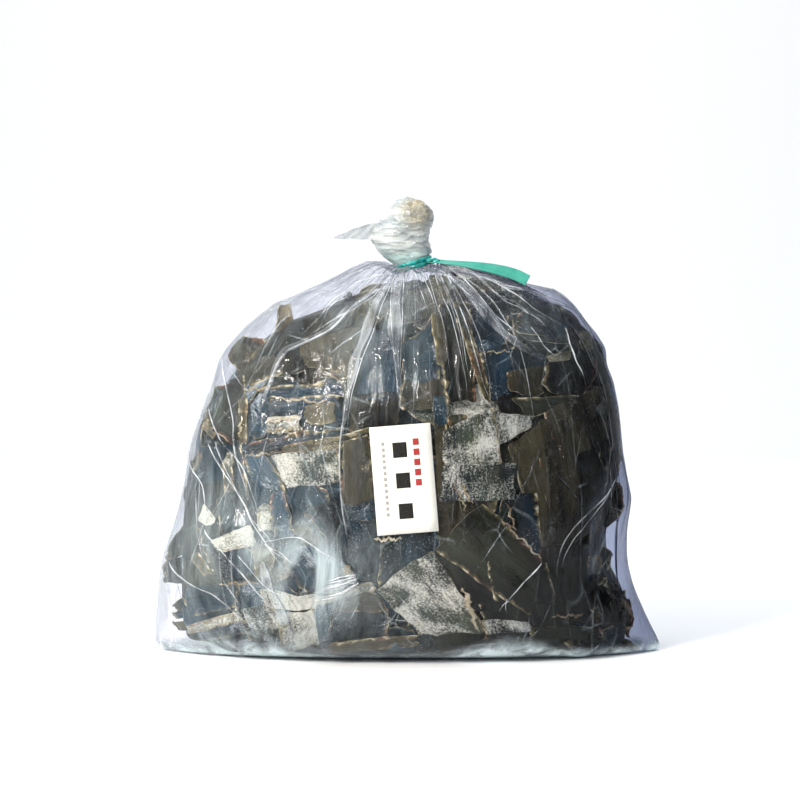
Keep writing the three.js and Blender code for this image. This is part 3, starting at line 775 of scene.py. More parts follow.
# %% Sheets along the outline
# what the sheet is, its kind, corners, how far its plane lies to the back in mm, its tone,
# and 1 where it is ruffled
FINS = [
    ("ruffled_a", "olive", (566, 588, 600, 576, 622, 600, 578, 622), -46, 0.0, 1),
    ("ruffled_b", "olive", (584, 604, 622, 590, 634, 620, 592, 634), -34, 0.15, 1),
    ("ruffled_c", "olive", (560, 620, 604, 612, 614, 640, 568, 646), -60, 0.05, 1),
    ("finger", "frill", (279, 304, 291, 304, 295, 336, 274, 338), -4, 0.3, 0),
    ("leather_tip", "brown", (225, 353, 240, 335, 268, 340, 244, 376), -12, 0.5, 0),
    ("leaf_left", "olive", (205, 411, 213, 386, 236, 384, 230, 430), -20, 0.5, 0),
    ("lens_left", "frill", (197, 424, 211, 409, 226, 420, 214, 440), -24, 0.5, 0),
    ("edge_blue", "blue", (192, 456, 212, 446, 236, 452, 200, 486), -8, 0.4, 0),
    ("margin_left", "olive", (182, 492, 196, 482, 216, 500, 188, 520), -2, 0.3, 0),
    ("leather_left", "olive", (171, 541, 190, 521, 214, 540, 168, 562), -6, 0.6, 0),
    ("end_left", "olive", (164, 560, 202, 552, 206, 584, 165, 583), 2, 0.5, 0),
    ("stub_one", "olive", (172, 605, 187, 594, 204, 600, 178, 610), -18, 0.7, 0),
    ("stub_two", "blue", (171, 613, 190, 606, 206, 612, 176, 619), -24, 0.8, 0),
    ("jag_left", "blue", (184, 588, 206, 580, 212, 606, 190, 602), -10, 0.4, 0),
    ("tip_left", "brown", (165, 624, 206, 617, 210, 630, 182, 631), -30, 0.9, 0),
    ("shoulder_fin", "olive", (588, 336, 603, 353, 614, 390, 590, 386), -8, 0.1, 0),
    ("wall_fin", "olive", (600, 392, 616, 402, 622, 462, 598, 452), -4, 0.3, 0),
    ("edge_fin", "brown", (596, 474, 620, 482, 623, 514, 594, 528), 2, 0.3, 0),
    ("edge_tip", "olive", (590, 500, 622, 511, 612, 522, 584, 540), -6, 0.2, 0),
    ("blue_fin", "blue", (594, 540, 612, 554, 606, 580, 586, 572), -12, 0.8, 0),
    ("blue_fin_low", "olive", (584, 560, 606, 566, 614, 583, 590, 600), -2, 0.1, 0),
    ("ruffle_fin", "olive", (590, 582, 616, 583, 631, 606, 596, 620), -8, 0.0, 1),
    ("ruffle_fin_low", "olive", (598, 610, 632, 608, 631, 631, 602, 640), -20, 0.1, 1),
    ("stub_right", "olive", (592, 643, 622, 636, 641, 649, 628, 658), -14, 0.1, 0),
]


def standing_sheet(kind, corners, back_mm, tone, ruffled):
    """A sheet in the plane y = back_mm, with its corners on the lines of sight of four pixels."""
    corner_lines = sight_lines(np.array(corners, float).reshape(4, 2))
    reach = (back_mm * MM - EYE[1]) / corner_lines[:, 1]
    corners = EYE + corner_lines * reach[:, None]
    width, length = patch_size(corners)
    s, t = np.meshgrid(spread(max(12, int(width / SHEET_STEP))),
                       spread(max(12, int(length / SHEET_STEP))))
    points = between_corners(corners, *outline(s, t, 0.045))
    phase = rng.uniform(0, 2 * np.pi, 2)
    points[..., 1] += 3 * MM * np.sin(2 * s + phase[0]) + 2 * MM * np.sin(3 * t + s + phase[1])
    points[..., 1] += leather(s, t)
    if ruffled:
        ruffle = np.abs(s) ** 3 + np.abs(t) ** 3
        points[..., 1] += 5 * MM * ruffle * np.sin(11 * s + 9 * t + phase[0])
        points[..., 2] += 3 * MM * ruffle * np.sin(13 * s - 7 * t + phase[1])
    margin = (1 - np.abs(s)) / 2 * width
    add_sheet(kind, points, s, t, (width, length), margin, tone)


for _, *fin in FINS:
    standing_sheet(*fin)
print("and", len(FINS), "along the outline; the pile is now",
      round(float(pile.mean()) / MM, 1), "mm deep on average")

# %% [markdown]
# ## Kelp's finish
# Dried kombu is a leathery blade, matt to satin, nearly black with a blue or olive cast. Fine
# wrinkles run along it, its margins dry to tan and rust, its cut edges show a pale line, and
# salt and sugar bloom on it as a white powder. All patterns use the sheet's own map, in metres
# along and across the blade, so that they follow every bend.

# %% Kelp's finish
TAN, RUST, CREAM = srgb("#8f8258"), srgb("#8f5c40"), srgb("#e0d6b0")   # colours of a dry margin


def kelp_material(name, dark, light, stain, bloom, cloudiness, bloom_low, bloom_high, gloss,
                  dusting):
    """Air-dried kelp, cut: satin skin under powder. bloom_low to bloom_high is how readily the
    powder shows, cloudiness how much it gathers in clouds, dusting how thick its grains lie."""
    made, tree = material(name)
    grain = node(tree, "UVMap", uv_map="grain")
    along = node(tree, "Mapping", {"Vector": grain, "Scale": (1.0, 0.22, 1.0)})
    fibre = node(tree, "Mapping", {"Vector": grain, "Scale": (1.0, 0.05, 1.0)})
    tone = node(tree, "Attribute", output="Fac", attribute_name="tone")
    margin = node(tree, "Attribute", output="Fac", attribute_name="margin")

    # pattern: the map it lies on, size in mm, detail, roughness, distortion
    patterns = {
        "clouding": (along, 24, 4.0, 0.55, 0.0),
        "streaks": (fibre, 3.0, 3.0, 0.6, 0.0),
        "stains": (along, 34, 3.0, 0.55, 0.4),
        "bloom": (grain, 30, 3.0, 0.55, 0.6),
        "salt": (grain, 1.9, 4.0, 0.8, 0.0),
        "drawn_salt": (along, 3.0, 3.0, 0.7, 0.0),
        "fray": (grain, 6, 3.0, 0.55, 0.0),
        "rust": (grain, 40, 1.0, 0.55, 0.0),
        "dryness": (grain, 26, 2.0, 0.55, 0.0),
        "buckles": (along, 45, 1.0, 0.55, 0.0),
        "wrinkles": (along, 9, 2.5, 0.5, 0.8),
    }
    noises = {}
    for pattern, (vector, size_mm, detail, roughness, distortion) in patterns.items():
        noises[pattern] = node(tree, "TexNoise", {
            "Vector": vector, "Scale": per_mm(size_mm), "Detail": detail, "Roughness": roughness,
            "Distortion": distortion})

    # The blade's own colour: cloudy along its length, streaked, stained in places.
    cloudy = node(tree, "MapRange", [noises["clouding"], 0.3, 0.7, -0.25, 0.45])
    streaky = node(tree, "MapRange", [noises["streaks"], 0.35, 0.65, -0.05, 0.05])
    uneven = node(tree, "Math", [cloudy, streaky], operation="ADD")
    shade = node(tree, "Math", [uneven, node(tree, "Math", [tone, 0.62], operation="MULTIPLY")],
                 operation="ADD")
    blade = node(tree, "ValToRGB", [shade], stops=[(0.05, dark), (0.9, light)])
    stained = node(tree, "MapRange", [noises["stains"], 0.50, 0.66, 0.0, 0.8])
    colour = node(tree, "Mix", {0: stained, 6: blade, 7: srgb(stain)}, 2, data_type="RGBA")

    # Salt bloom: fine grains drawn out along the blade, thick in cloudy patches.
    drawn = node(tree, "Math", [noises["drawn_salt"], 0.3], operation="MULTIPLY")
    round_grains = node(tree, "Math", [noises["salt"], 0.7], operation="MULTIPLY")
    speck = node(tree, "Math", [drawn, round_grains], operation="ADD")
    clouds = node(tree, "Math", [noises["bloom"], cloudiness], operation="MULTIPLY")
    specks = node(tree, "Math", [speck, 1 - cloudiness], operation="MULTIPLY")
    dusted = node(tree, "Math", [clouds, specks], operation="ADD")
    paler = node(tree, "MapRange", [tone, 0, 1, -0.06, 0.06])
    dusted = node(tree, "Math", [dusted, paler], operation="ADD")
    powder = node(tree, "MapRange", [dusted, bloom_low, bloom_high])
    dust = node(tree, "MapRange", [noises["salt"], 0.585, 0.63, 0.0, dusting])
    dust_clouds = node(tree, "MapRange", [noises["bloom"], 0.46, 0.60])
    dust = node(tree, "Math", [dust, dust_clouds], operation="MULTIPLY")
    white = node(tree, "Math", [powder, dust], operation="MAXIMUM")
    colour = node(tree, "Mix", {0: white, 6: colour, 7: srgb(bloom)}, 2, data_type="RGBA")

    # Margins dry to tan, here and there to rust, and their last millimetre to cream. The dried
    # band wanders by up to 4 mm.
    wander = node(tree, "MapRange", [noises["fray"], 0.25, 0.75, -2 * MM, 4 * MM])
    frayed = node(tree, "Math", [margin, wander], operation="ADD")
    shown = node(tree, "MapRange", [noises["dryness"], 0.38, 0.56, 0.15, 1.0])
    rusty = node(tree, "MapRange", [noises["rust"], 0.52, 0.62])
    edge = node(tree, "Mix", {0: rusty, 6: TAN, 7: RUST}, 2, data_type="RGBA")
    for outer, inner, edge_colour in ((4.0 * MM, 0.8 * MM, edge), (1.2 * MM, 0.4 * MM, CREAM)):
        band = node(tree, "MapRange", [frayed, outer, inner])
        band = node(tree, "Math", [band, shown], operation="MULTIPLY")
        colour = node(tree, "Mix", {0: band, 6: colour, 7: edge_colour}, 2, data_type="RGBA")

    buckled = node(tree, "Bump", {"Height": noises["buckles"], "Distance": 11 * MM})
    wrinkled = node(tree, "Bump", {"Height": noises["wrinkles"], "Distance": 2.6 * MM,
                                   "Normal": buckled})
    dull = node(tree, "MapRange", [powder, 0, 1, gloss, 0.85])
    shader = node(tree, "BsdfPrincipled", {
        "Base Color": colour, "Roughness": dull, "Specular IOR Level": 0.18, "Normal": wrinkled})
    node(tree, "OutputMaterial", [shader])
    return made


def cut_edge_material():
    """The cut face of a blade: pale, fibrous, matt."""
    made, tree = material("kelp_cut_edge")
    grain = node(tree, "UVMap", uv_map="grain")
    fibres = node(tree, "TexNoise", {
        "Vector": grain, "Scale": per_mm(16), "Detail": 3.0, "Roughness": 0.55})
    colour = node(tree, "ValToRGB", [fibres], stops=[
        (0.40, "#29261b"), (0.50, "#857a58"), (0.60, "#dcd2ac"), (0.74, "#a8784f")])
    shader = node(tree, "BsdfPrincipled", {"Base Color": colour, "Roughness": 0.8})
    node(tree, "OutputMaterial", [shader])
    return made


cut_edge = cut_edge_material()
# kind: name, darkest, lightest, stain and bloom colour, cloudiness, bloom from and to, gloss,
# dusting
KELP_FINISHES = {
    # The blue kind's cast is partly the kelp's own and partly a painted reflection of the sky.
    "blue": ("kelp_blue_black", "#04080a", "#294857", "#222820", "#bcc4c3",
             0.5, 0.57, 0.67, 0.36, 0.9),
    "olive": ("kelp_olive_black", "#040402", "#3b3e2b", "#251f11", "#9b967c",
              0.5, 0.63, 0.73, 0.36, 0.0),
    "brown": ("kelp_brown", "#080704", "#5d563a", "#332c1a", "#b9ae8c",
              0.5, 0.58, 0.69, 0.44, 0.4),
    "bloom": ("kelp_bloomed", "#1b211f", "#5b5f46", "#3d493e", "#dedcc8",
              0.38, 0.455, 0.560, 0.60, 0.9),
    "frill": ("kelp_margin_frill", "#6b5c3e", "#b3a67e", "#9c6a4b", "#e8e0c0",
              0.4, 0.48, 0.60, 0.6, 0.5),
}
finishes = {kind: kelp_material(*recipe) for kind, recipe in KELP_FINISHES.items()}
print("kelp finishes:", [each.name for each in finishes.values()])


# %% The kelp's pieces
def kelp_piece(kind, laid):
    """Joins all sheets of one kind into one piece with a real thickness."""
    bm = bmesh.new()
    for sheet in laid:
        rows, columns = sheet["shape"]
        bmesh.ops.create_grid(bm, x_segments=columns - 1, y_segments=rows - 1, size=1)
    mesh = mesh_from(bm, f"kelp_{kind}")
    place_vertices(mesh, np.concatenate([sheet["points"] for sheet in laid]))
    for name in ("tone", "margin"):
        mark(mesh, name, np.concatenate([sheet[name] for sheet in laid]))
    grain = np.concatenate([sheet["grain"] for sheet in laid])
    corner = np.empty(len(mesh.loops), int)
    mesh.loops.foreach_get("vertex_index", corner)
    mesh.uv_layers.new(name="grain").data.foreach_set("uv", grain[corner].ravel())
    made = new_object(f"kelp_{kind}", mesh, finishes[kind], cut_edge)
    thicken(made, SHEET_THICKNESS).material_offset_rim = 1
    hand_over(made, "bag")
    return made


for kind, laid in sheets.items():
    made = kelp_piece(kind, laid)
    print(made.name, len(laid), "sheets,", len(made.data.polygons), "faces")

# %% [markdown]
# ## The core
# Nothing deeper than a few sheets can be seen, so the middle of the bag is one dark, crumpled
# body that follows the kelp's skin three centimetres down.

# %% The core
CORE_GAP = 4 * MM             # from the deepest sheets down to the core


def core_material():
    """Kelp in the shade of the sheets above it: nearly black, matt, crumpled."""
    made, tree = material("kelp_core_dark")
    place = node(tree, "TexCoord", output="Object")
    mottled, crumpled = (
        node(tree, "TexNoise", {
            "Vector": place, "Scale": per_mm(size_mm), "Detail": 4.0, "Roughness": 0.55})
        for size_mm in (14, 8))
    colour = node(tree, "ValToRGB", [mottled], stops=[(0.35, "#0e1114"), (0.7, "#23241c")])
    shader = node(tree, "BsdfPrincipled", {
        "Base Color": colour, "Roughness": 0.8,
        "Normal": node(tree, "Bump", {"Height": crumpled, "Distance": 3 * MM})})
    node(tree, "OutputMaterial", [shader])
    return made


bm = bmesh.new()
bmesh.ops.create_uvsphere(bm, u_segments=120, v_segments=60, radius=1)
mesh = mesh_from(bm, "kelp_core")
looks = unit(coordinates(mesh))
lumps = np.array([noise.fractal(Vector(d * 9), 0.8, 2.0, 3) for d in looks])
core_reach = sample(heap, looks) - PILE_DEPTH - CORE_GAP + lumps * 5 * MM
place_vertices(mesh, HEART + looks * core_reach[:, None])
core = new_object("kelp_core", mesh, core_material())
hand_over(core, "bag")
print("core of", len(core.data.polygons), "faces")

# %% [markdown]
# ## The film
# Polythene film of 0.05 mm is clear, limp and shiny. What the eye sees is not the film but its
# folds: it is gathered into the neck in sharp pleats that fan out over the shoulders, and where
# corners of kelp pull on it, it draws into straight creases. It is modelled as one closed skin
# on the bag's form, with a fold height for every direction.

# %% Where the label and the neck are
CARD_SIZE = (52 * MM, 92 * MM)
CARD_TURN = math.radians(4.5)             # the label's turn across its face
CARD_LEAN = math.radians(4)               # and its lean to the back
NECK_HALF = np.array((0.0145, 0.0130))    # the neck's half width and half depth
NECK_TILT = math.radians(16)              # the ring rises to the right
NECK_LEAN = math.radians(7)               # and to the back


def card_frame():
    """The label's own middle, and its axes across, up and out."""
    axes = Matrix.Rotation(-CARD_LEAN, 3, "X") @ Matrix.Rotation(-CARD_TURN, 3, "Y")
    low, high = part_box("label")
    return np.array((low + high) / 2), *(np.array(axes @ Vector(v)) for v in (
        (1, 0, 0), (0, 0, 1), (0, -1, 0)))


CARD_MIDDLE, CARD_ACROSS, CARD_UP, CARD_OUT = card_frame()


def clear_of_card(points):
    """0 behind the label, where the film lies flat, and 1 away from it."""
    offset = points - CARD_MIDDLE
    beside = np.maximum(np.abs(offset @ CARD_ACROSS) - CARD_SIZE[0] / 2,
                        np.abs(offset @ CARD_UP) - CARD_SIZE[1] / 2)
    away = np.where(offset @ CARD_OUT < -25 * MM, 1.0, 0.0)
    return np.maximum(away, smoothstep(1 * MM, 9 * MM, beside))


def neck_ring(angle, grow, rise):
    """A point of the tied neck's tilted ellipse, grown outwards and raised along its axis."""
    flat = np.stack([(NECK_HALF[0] + grow) * np.cos(angle), (NECK_HALF[1] + grow) * np.sin(angle),
                     np.broadcast_to(rise, np.shape(angle))], -1)
    turn = Matrix.Rotation(NECK_LEAN, 3, "X") @ Matrix.Rotation(-NECK_TILT, 3, "Y")
    return NECK + flat @ np.array(turn).T


print("label's middle", CARD_MIDDLE.round(3), "m")

# %% The film's folds
PLEATS = 44                # sharp folds at the neck
PLEAT_RISE = 2.6 * MM
WRINKLE_RISE = 1.1 * MM
WRINKLE_LEVEL = 0.7        # the noise that leaves the film in its place
FILM_LIFT = 0.25 * MM      # off the floor


def sharp(wave, power):
    """Turns a sine into narrow crests."""
    return (0.5 + 0.5 * wave) ** power


def film_folds(points):
    """How far the folds stand out of the film at each point."""
    offset = points - NECK
    angle = np.arctan2(offset[:, 1], offset[:, 0])
    away = np.linalg.norm(offset, axis=1)
    wander = 0.8 * np.sin(2 * angle + 1) + 0.6 * np.sin(5 * angle + 2) + 0.4 * np.sin(9 * angle)
    sway = 0.25 * np.sin(away / 0.031 + 3 * angle)
    fine = sharp(np.sin(PLEATS * angle + 2 * wander + sway), 3) * np.exp(-away / 0.045)
    broad = sharp(np.sin(PLEATS / 2 * angle + 3 * wander + 2 * sway), 4)
    broad = broad * np.exp(-((away - 0.07) / 0.085) ** 2)
    strength = 0.6 + 0.4 * np.sin(7 * angle + 1.3) * np.sin(3 * angle)
    return PLEAT_RISE * (0.9 * fine + 0.75 * broad * strength)


def film_wrinkles(points):
    """Low ridges and dents, drawn out downwards, from a ridged noise."""
    stretched = points * (26, 26, 11)
    ridges = np.array([noise.ridged_multi_fractal(Vector(p), 0.9, 2.1, 3, 1.0, 2.0)
                       for p in stretched])
    return (ridges - WRINKLE_LEVEL) * WRINKLE_RISE


def neck_elevation(azimuth):
    """The elevation at which the neck begins, seen from the heart."""
    return np.interp(azimuth % (2 * np.pi), azimuths, elevations[neck_rows], period=2 * np.pi)


def below_neck(looks):
    """Lowers directions that would miss the shoulders and end above the neck."""
    azimuth, elevation = angles(looks)
    return direction(azimuth, np.minimum(elevation, neck_elevation(azimuth)))


def film_surface(looks):
    """The film's points along directions from the heart."""
    base = HEART + looks * sample(skin, looks)[:, None]
    rise = (film_folds(base) + film_wrinkles(base)) * clear_of_card(base)
    points = base + looks * (rise * smoothstep(0.004, 0.030, base[:, 2]))[:, None]
    points[:, 2] = np.maximum(points[:, 2], FILM_LIFT)
    return points


# %% [markdown]
# The skin starts as a globe. Its parallels are drawn down until the last but one lies round the
# neck, and the pole closes it there, out of sight inside the tie.

# %% The film's skin
FILM_SEGMENTS = (440, 208)
bm = bmesh.new()
bmesh.ops.create_uvsphere(bm, u_segments=FILM_SEGMENTS[0], v_segments=FILM_SEGMENTS[1], radius=1)
film_mesh = mesh_from(bm, "bag_film")
azimuth, elevation = angles(unit(coordinates(film_mesh)))
climb = (elevation + np.pi / 2) / np.pi * FILM_SEGMENTS[1] / (FILM_SEGMENTS[1] - 1)
lowered = -np.pi / 2 + np.minimum(climb, 1) * (neck_elevation(azimuth) + np.pi / 2)
film_points = film_surface(direction(azimuth, lowered))
film_points[elevation > np.pi / 2 - 1e-4] = NECK + (0, 0, 4 * MM)
place_vertices(film_mesh, film_points)
print("film of", len(film_mesh.polygons), "faces")

# %% [markdown]
# Clear film sends most light straight through and mirrors a little of it, more at a glancing
# angle. Where layers lie on each other it scatters a white haze, and more white haze is painted
# on as glare along the floor and as sheen on the left. Three shaders are mixed for that:
# transparent, glossy and a white diffuse, and an attribute says how hazy each spot is.
# Towards the right the film is in the shade of the pack: it mirrors less there, and looks
# lavender grey.

# %% The film's finish
MOST_MIRRORED = 0.30                 # even at the outline most light comes through from behind
SHADED_FROM, SHADED_TO = 0.04, 0.17  # where the film's shaded side begins and is full
SHADED_MIRROR = 0.4                  # how much of its mirroring is left there
SHADED_FRONT = srgb("#bfc4d2")       # tints of the shaded film, seen straight on
RIM, SHADED_RIM = srgb("#cfd1d8"), srgb("#868b9d")     # and of both sides at a glancing angle


def crease_lines(tree, vector, size_mm, strength):
    """Straight hairline creases about size_mm apart, faint or missing in places, drawn as
    white haze that is partly a painted highlight.
    """
    edge = node(tree, "TexVoronoi", {"Vector": vector, "Scale": per_mm(size_mm)},
                feature="DISTANCE_TO_EDGE")
    line = node(tree, "MapRange", [edge, 0.55 / size_mm, 0.15 / size_mm])
    patches = node(tree, "TexNoise", {
        "Vector": vector, "Scale": per_mm(26), "Detail": 2.0, "Roughness": 0.55})
    shown = node(tree, "MapRange", [patches, 0.48, 0.66, 0.0, strength])
    return node(tree, "Math", [line, shown], operation="MULTIPLY")


def film_material(name, clearness, milk, haze, glance_haze, gloss, roughness):
    """Blown low-density polythene, 0.05 mm: clear, glossy, with fine crinkles.

    clearness tints what shows through, milk is the colour of the haze, haze and glance_haze its
    share where layers meet and at a glancing angle, and gloss is an index of refraction."""
    made, tree = material(name)
    place = node(tree, "TexCoord", output="Object")
    drawn = node(tree, "Mapping", {"Vector": place, "Scale": (1, 1, 0.35)})
    bent = node(tree, "Mapping", {
        "Vector": place, "Rotation": (0.3, 0.5, 0), "Scale": (1, 1, 0.4)})

    # Crinkles and flat facets break up what the film mirrors.
    crinkle = node(tree, "TexNoise", {
        "Vector": drawn, "Scale": per_mm(17), "Detail": 3.0, "Roughness": 0.55, "Distortion": 1.2})
    facets = node(tree, "TexVoronoi", {"Vector": drawn, "Scale": per_mm(19)}, feature="F1")
    crinkled = node(tree, "Bump", {"Height": crinkle, "Distance": 3.5 * MM})
    crumpled = node(tree, "Bump", {"Height": facets, "Distance": 3 * MM, "Normal": crinkled})
    calm = node(tree, "Bump", {"Height": crinkle, "Distance": 1.4 * MM})
    facing = node(tree, "LayerWeight", {"Blend": 0.5, "Normal": calm}, "Facing")
    aside = node(tree, "SeparateXYZ", [place], "X")
    shaded = node(tree, "MapRange", [aside, SHADED_FROM, SHADED_TO])
    mirrored = node(tree, "Fresnel", {"IOR": gloss, "Normal": calm})
    mirrored = node(tree, "Math", [mirrored, MOST_MIRRORED], operation="MINIMUM")
    kept = node(tree, "MapRange", [shaded, 0, 1, 1.0, SHADED_MIRROR])
    mirrored = node(tree, "Math", [mirrored, kept], operation="MULTIPLY")

    # Haze: where layers lie on each other, along sharp creases, and at a glancing angle. The
    # attribute adds painted glare and sheen, and the creases are partly painted highlights.
    layers = node(tree, "Attribute", output="Fac", attribute_name="layers")
    smears = node(tree, "TexNoise", {
        "Vector": drawn, "Scale": per_mm(28), "Detail": 5.0, "Roughness": 0.65, "Distortion": 1.0})
    smear = node(tree, "MapRange", [smears, 0.36, 0.70, 0.1, 2.1])
    veil = node(tree, "Math", [layers, smear], operation="MULTIPLY")
    veil = node(tree, "Math", [veil, haze], operation="MULTIPLY")
    creased = node(tree, "Math", [crease_lines(tree, bent, 34, 0.26),
                                  crease_lines(tree, drawn, 19, 0.14)], operation="ADD")
    marked = node(tree, "MapRange", [layers, 0.004, 0.030, 0.4, 1.0])
    creased = node(tree, "Math", [creased, marked], operation="MULTIPLY")
    creased = node(tree, "Math", [creased, haze], operation="MULTIPLY")
    glance = node(tree, "Math", [facing, 5.0], operation="POWER")
    lit = node(tree, "MapRange", [shaded, 0, 1, glance_haze, 0])
    glance = node(tree, "Math", [glance, lit], operation="MULTIPLY")
    veil = node(tree, "Math", [veil, glance], operation="ADD")
    hazy = node(tree, "Math", [veil, creased], operation="ADD")

    front = node(tree, "Mix", {0: shaded, 6: srgb(clearness), 7: SHADED_FRONT}, 2,
                 data_type="RGBA")
    rim = node(tree, "Mix", {0: shaded, 6: RIM, 7: SHADED_RIM}, 2, data_type="RGBA")
    turned = node(tree, "MapRange", [facing, 0.45, 0.95])
    tint = node(tree, "Mix", {0: turned, 6: front, 7: rim}, 2, data_type="RGBA")
    clear = node(tree, "BsdfTransparent", {"Color": tint})
    scatter = node(tree, "BsdfDiffuse", {"Color": srgb(milk), "Normal": calm})
    mirror = node(tree, "BsdfGlossy", {
        "Color": (1, 1, 1, 1), "Roughness": roughness, "Normal": crumpled})
    veiled = node(tree, "MixShader", [hazy, clear, scatter])
    node(tree, "OutputMaterial", [node(tree, "MixShader", [mirrored, veiled, mirror])])
    return made


# %% The film as a piece
HAZE_AND_GLARE_SPOTS = [                    # frame pixel, radius in mm, haze
    ((330, 580), 24, 0.27),       # the pocket of folds at the lower left
    ((300, 560), 32, 0.24),
    ((225, 520), 40, 0.10),
    ((270, 625), 26, 0.22),
    ((395, 300), 24, 0.09),       # under the neck
    ((388, 350), 34, 0.05),
    ((540, 330), 28, 0.05),
    ((360, 330), 26, 0.08),
    # Painted glare: white haze where the film meets the floor.
    ((215, 646), 13, 0.45),       # glare where the film meets the floor
    ((250, 650), 15, 0.60),
    ((276, 652), 9, 0.50),
]


def soft_spot(points, pixel, radius_mm):
    """1 at the film under a frame pixel, fading to 0 about radius_mm away."""
    look = looks_through(np.array(pixel, float), skin)
    middle = HEART + look * sample(skin, look)
    return np.exp(-(np.linalg.norm(points - middle, axis=1) / (radius_mm * MM)) ** 2)


def film_layers(points):
    """How hazy the film is: most at the neck and floor, more on the left, and in smears.
    The haze along the floor and on the left is painted glare and sheen.
    """
    x, z = points[:, 0], points[:, 2]
    near_neck = np.exp(-np.linalg.norm(points - NECK, axis=1) / 0.030)
    # Painted light as haze: sheen on the film's left side and glare along the floor.
    painted_left_sheen = smoothstep(0.06, -0.12, x)
    aside = np.maximum(smoothstep(-0.07, -0.12, x), smoothstep(0.02, 0.06, x))
    hollow = hollow_at(x)
    painted_floor_glare = smoothstep(0.011 + 0.018 * hollow, 0.003, z) * (0.4 + 0.6 * aside)
    painted_low_left_sheen = painted_left_sheen * smoothstep(0.16, 0.08, z)
    haze = 0.14 * near_neck + 0.036 * painted_left_sheen + 0.05 * painted_low_left_sheen
    haze += (0.60 + 0.25 * hollow) * painted_floor_glare + 0.002
    for pixel, radius_mm, amount in HAZE_AND_GLARE_SPOTS:
        haze += amount * soft_spot(points, pixel, radius_mm)
    return haze


mark(film_mesh, "layers", film_layers(film_points))
film = new_object("bag_film", film_mesh, film_material(
    "polythene_film", "#f1f1f7", "#dcebee", haze=1.0, glance_haze=0.22, gloss=1.26,
    roughness=0.09))
hand_over(film, "bag")
print("haze up to", round(float(film_layers(film_points[::50]).max()), 2))

# %% [markdown]
# ## Pleats and creases
# The folds that catch the light are thin ridges where the film stands doubled. They start in
# the neck and run far down, or join two corners of kelp that pull the film tight. Each one is a
# long narrow grid rolled into a closed ridge that tapers at both ends, laid on the film's own
# surface. Width, height and haze make it a hard crease or a broad soft fold. The white haze on
# a ridge is partly doubled film and partly a painted highlight along its crest.

# %% How a fold is drawn
FOLD_STEPS = 40
# Haze across a section: partly doubled film, partly a painted highlight on crest and edges.
RIDGE = np.array([(-1, 0), (-0.4, 0.5), (0, 1), (0.4, 0.5), (1, 0), (0, -0.2), (-1, 0)])
RIDGE_HAZE_AND_PAINTED_HIGHLIGHT = np.array((0.0, 0.6, 1.0, 0.6, 0.0, 0.0, 0.0))
RIDGE_NARROWED = 0.8        # of the width a ridge is asked for
BAND = np.array([(-1, 0), (-0.86, 0.7), (0, 0.6), (0.86, 0.7), (1, 0), (0, -0.2), (-1, 0)])
BAND_HAZE_AND_PAINTED_HIGHLIGHT = np.array((0.1, 1.0, 0.35, 0.8, 0.1, 0.0, 0.1))
BAND_WIDTH = 4.0            # a fold wider than this lies flat, with two bright edges
FOLD_LIFT = 0.15 * MM       # off the floor
folds = []


def through_stops(stops, t):
    """A smooth curve through points, at shares t of the way."""
    stops = np.asarray(stops, float)
    stops = np.vstack([2 * stops[0] - stops[1], stops, 2 * stops[-1] - stops[-2]])
    place = np.clip(t, 0, 1) * (len(stops) - 3)
    start = np.minimum(place.astype(int), len(stops) - 4)
    f = (place - start)[:, None]
    p0, p1, p2, p3 = (stops[start + i] for i in range(4))
    return 0.5 * (2 * p1 + (p2 - p0) * f + (2 * p0 - 5 * p1 + 4 * p2 - p3) * f ** 2
                  + (3 * p1 - p0 - 3 * p2 + p3) * f ** 3)


def draw_fold(stops, width, height, haze, head=0.03, tail=0.5):
    """A ridge over points near the film. head and tail say how quickly its ends taper."""
    t = np.linspace(0, 1, FOLD_STEPS + 1)
    line = through_stops(stops, t)
    length = np.linalg.norm(np.diff(line, axis=0), axis=1).sum()
    looks = unit(line - HEART)
    across = unit(np.cross(np.gradient(line, axis=0), looks))
    sway = 0.0025 * length * np.sin(2 * np.pi * (t * rng.uniform(1, 2.5) + rng.random()))
    line = HEART + below_neck(looks) * np.linalg.norm(line - HEART, axis=1)[:, None]
    line = line + across * sway[:, None]
    taper = np.clip(t / head, 0, 1) ** 0.7 * np.clip((1 - t) / tail, 0, 1) ** 0.8
    pulse = taper * (1 + 0.25 * np.sin(2 * np.pi * (t * rng.uniform(2, 5) + rng.random())))
    if width > BAND_WIDTH:
        section, section_haze = BAND, BAND_HAZE_AND_PAINTED_HIGHLIGHT
    else:
        section, section_haze, width = RIDGE, RIDGE_HAZE_AND_PAINTED_HIGHLIGHT, RIDGE_NARROWED * width
    offset = section[:, 0, None] * pulse * width / 2 * MM
    spots = below_neck(unit(line + across * offset[..., None] - HEART))
    on_film = film_surface(spots.reshape(-1, 3)).reshape(spots.shape)
    lift = section[:, 1, None] * pulse * height * MM
    points = on_film + spots * lift[..., None]
    points[..., 2] = np.maximum(points[..., 2], FOLD_LIFT)
    folds.append({"points": points, "layers": section_haze[:, None] * taper * haze})


def film_at(pixels):
    """The film's own points under frame pixels."""
    looks = looks_through(np.array(pixels, float), skin)
    return HEART + looks * sample(skin, looks)[:, None]


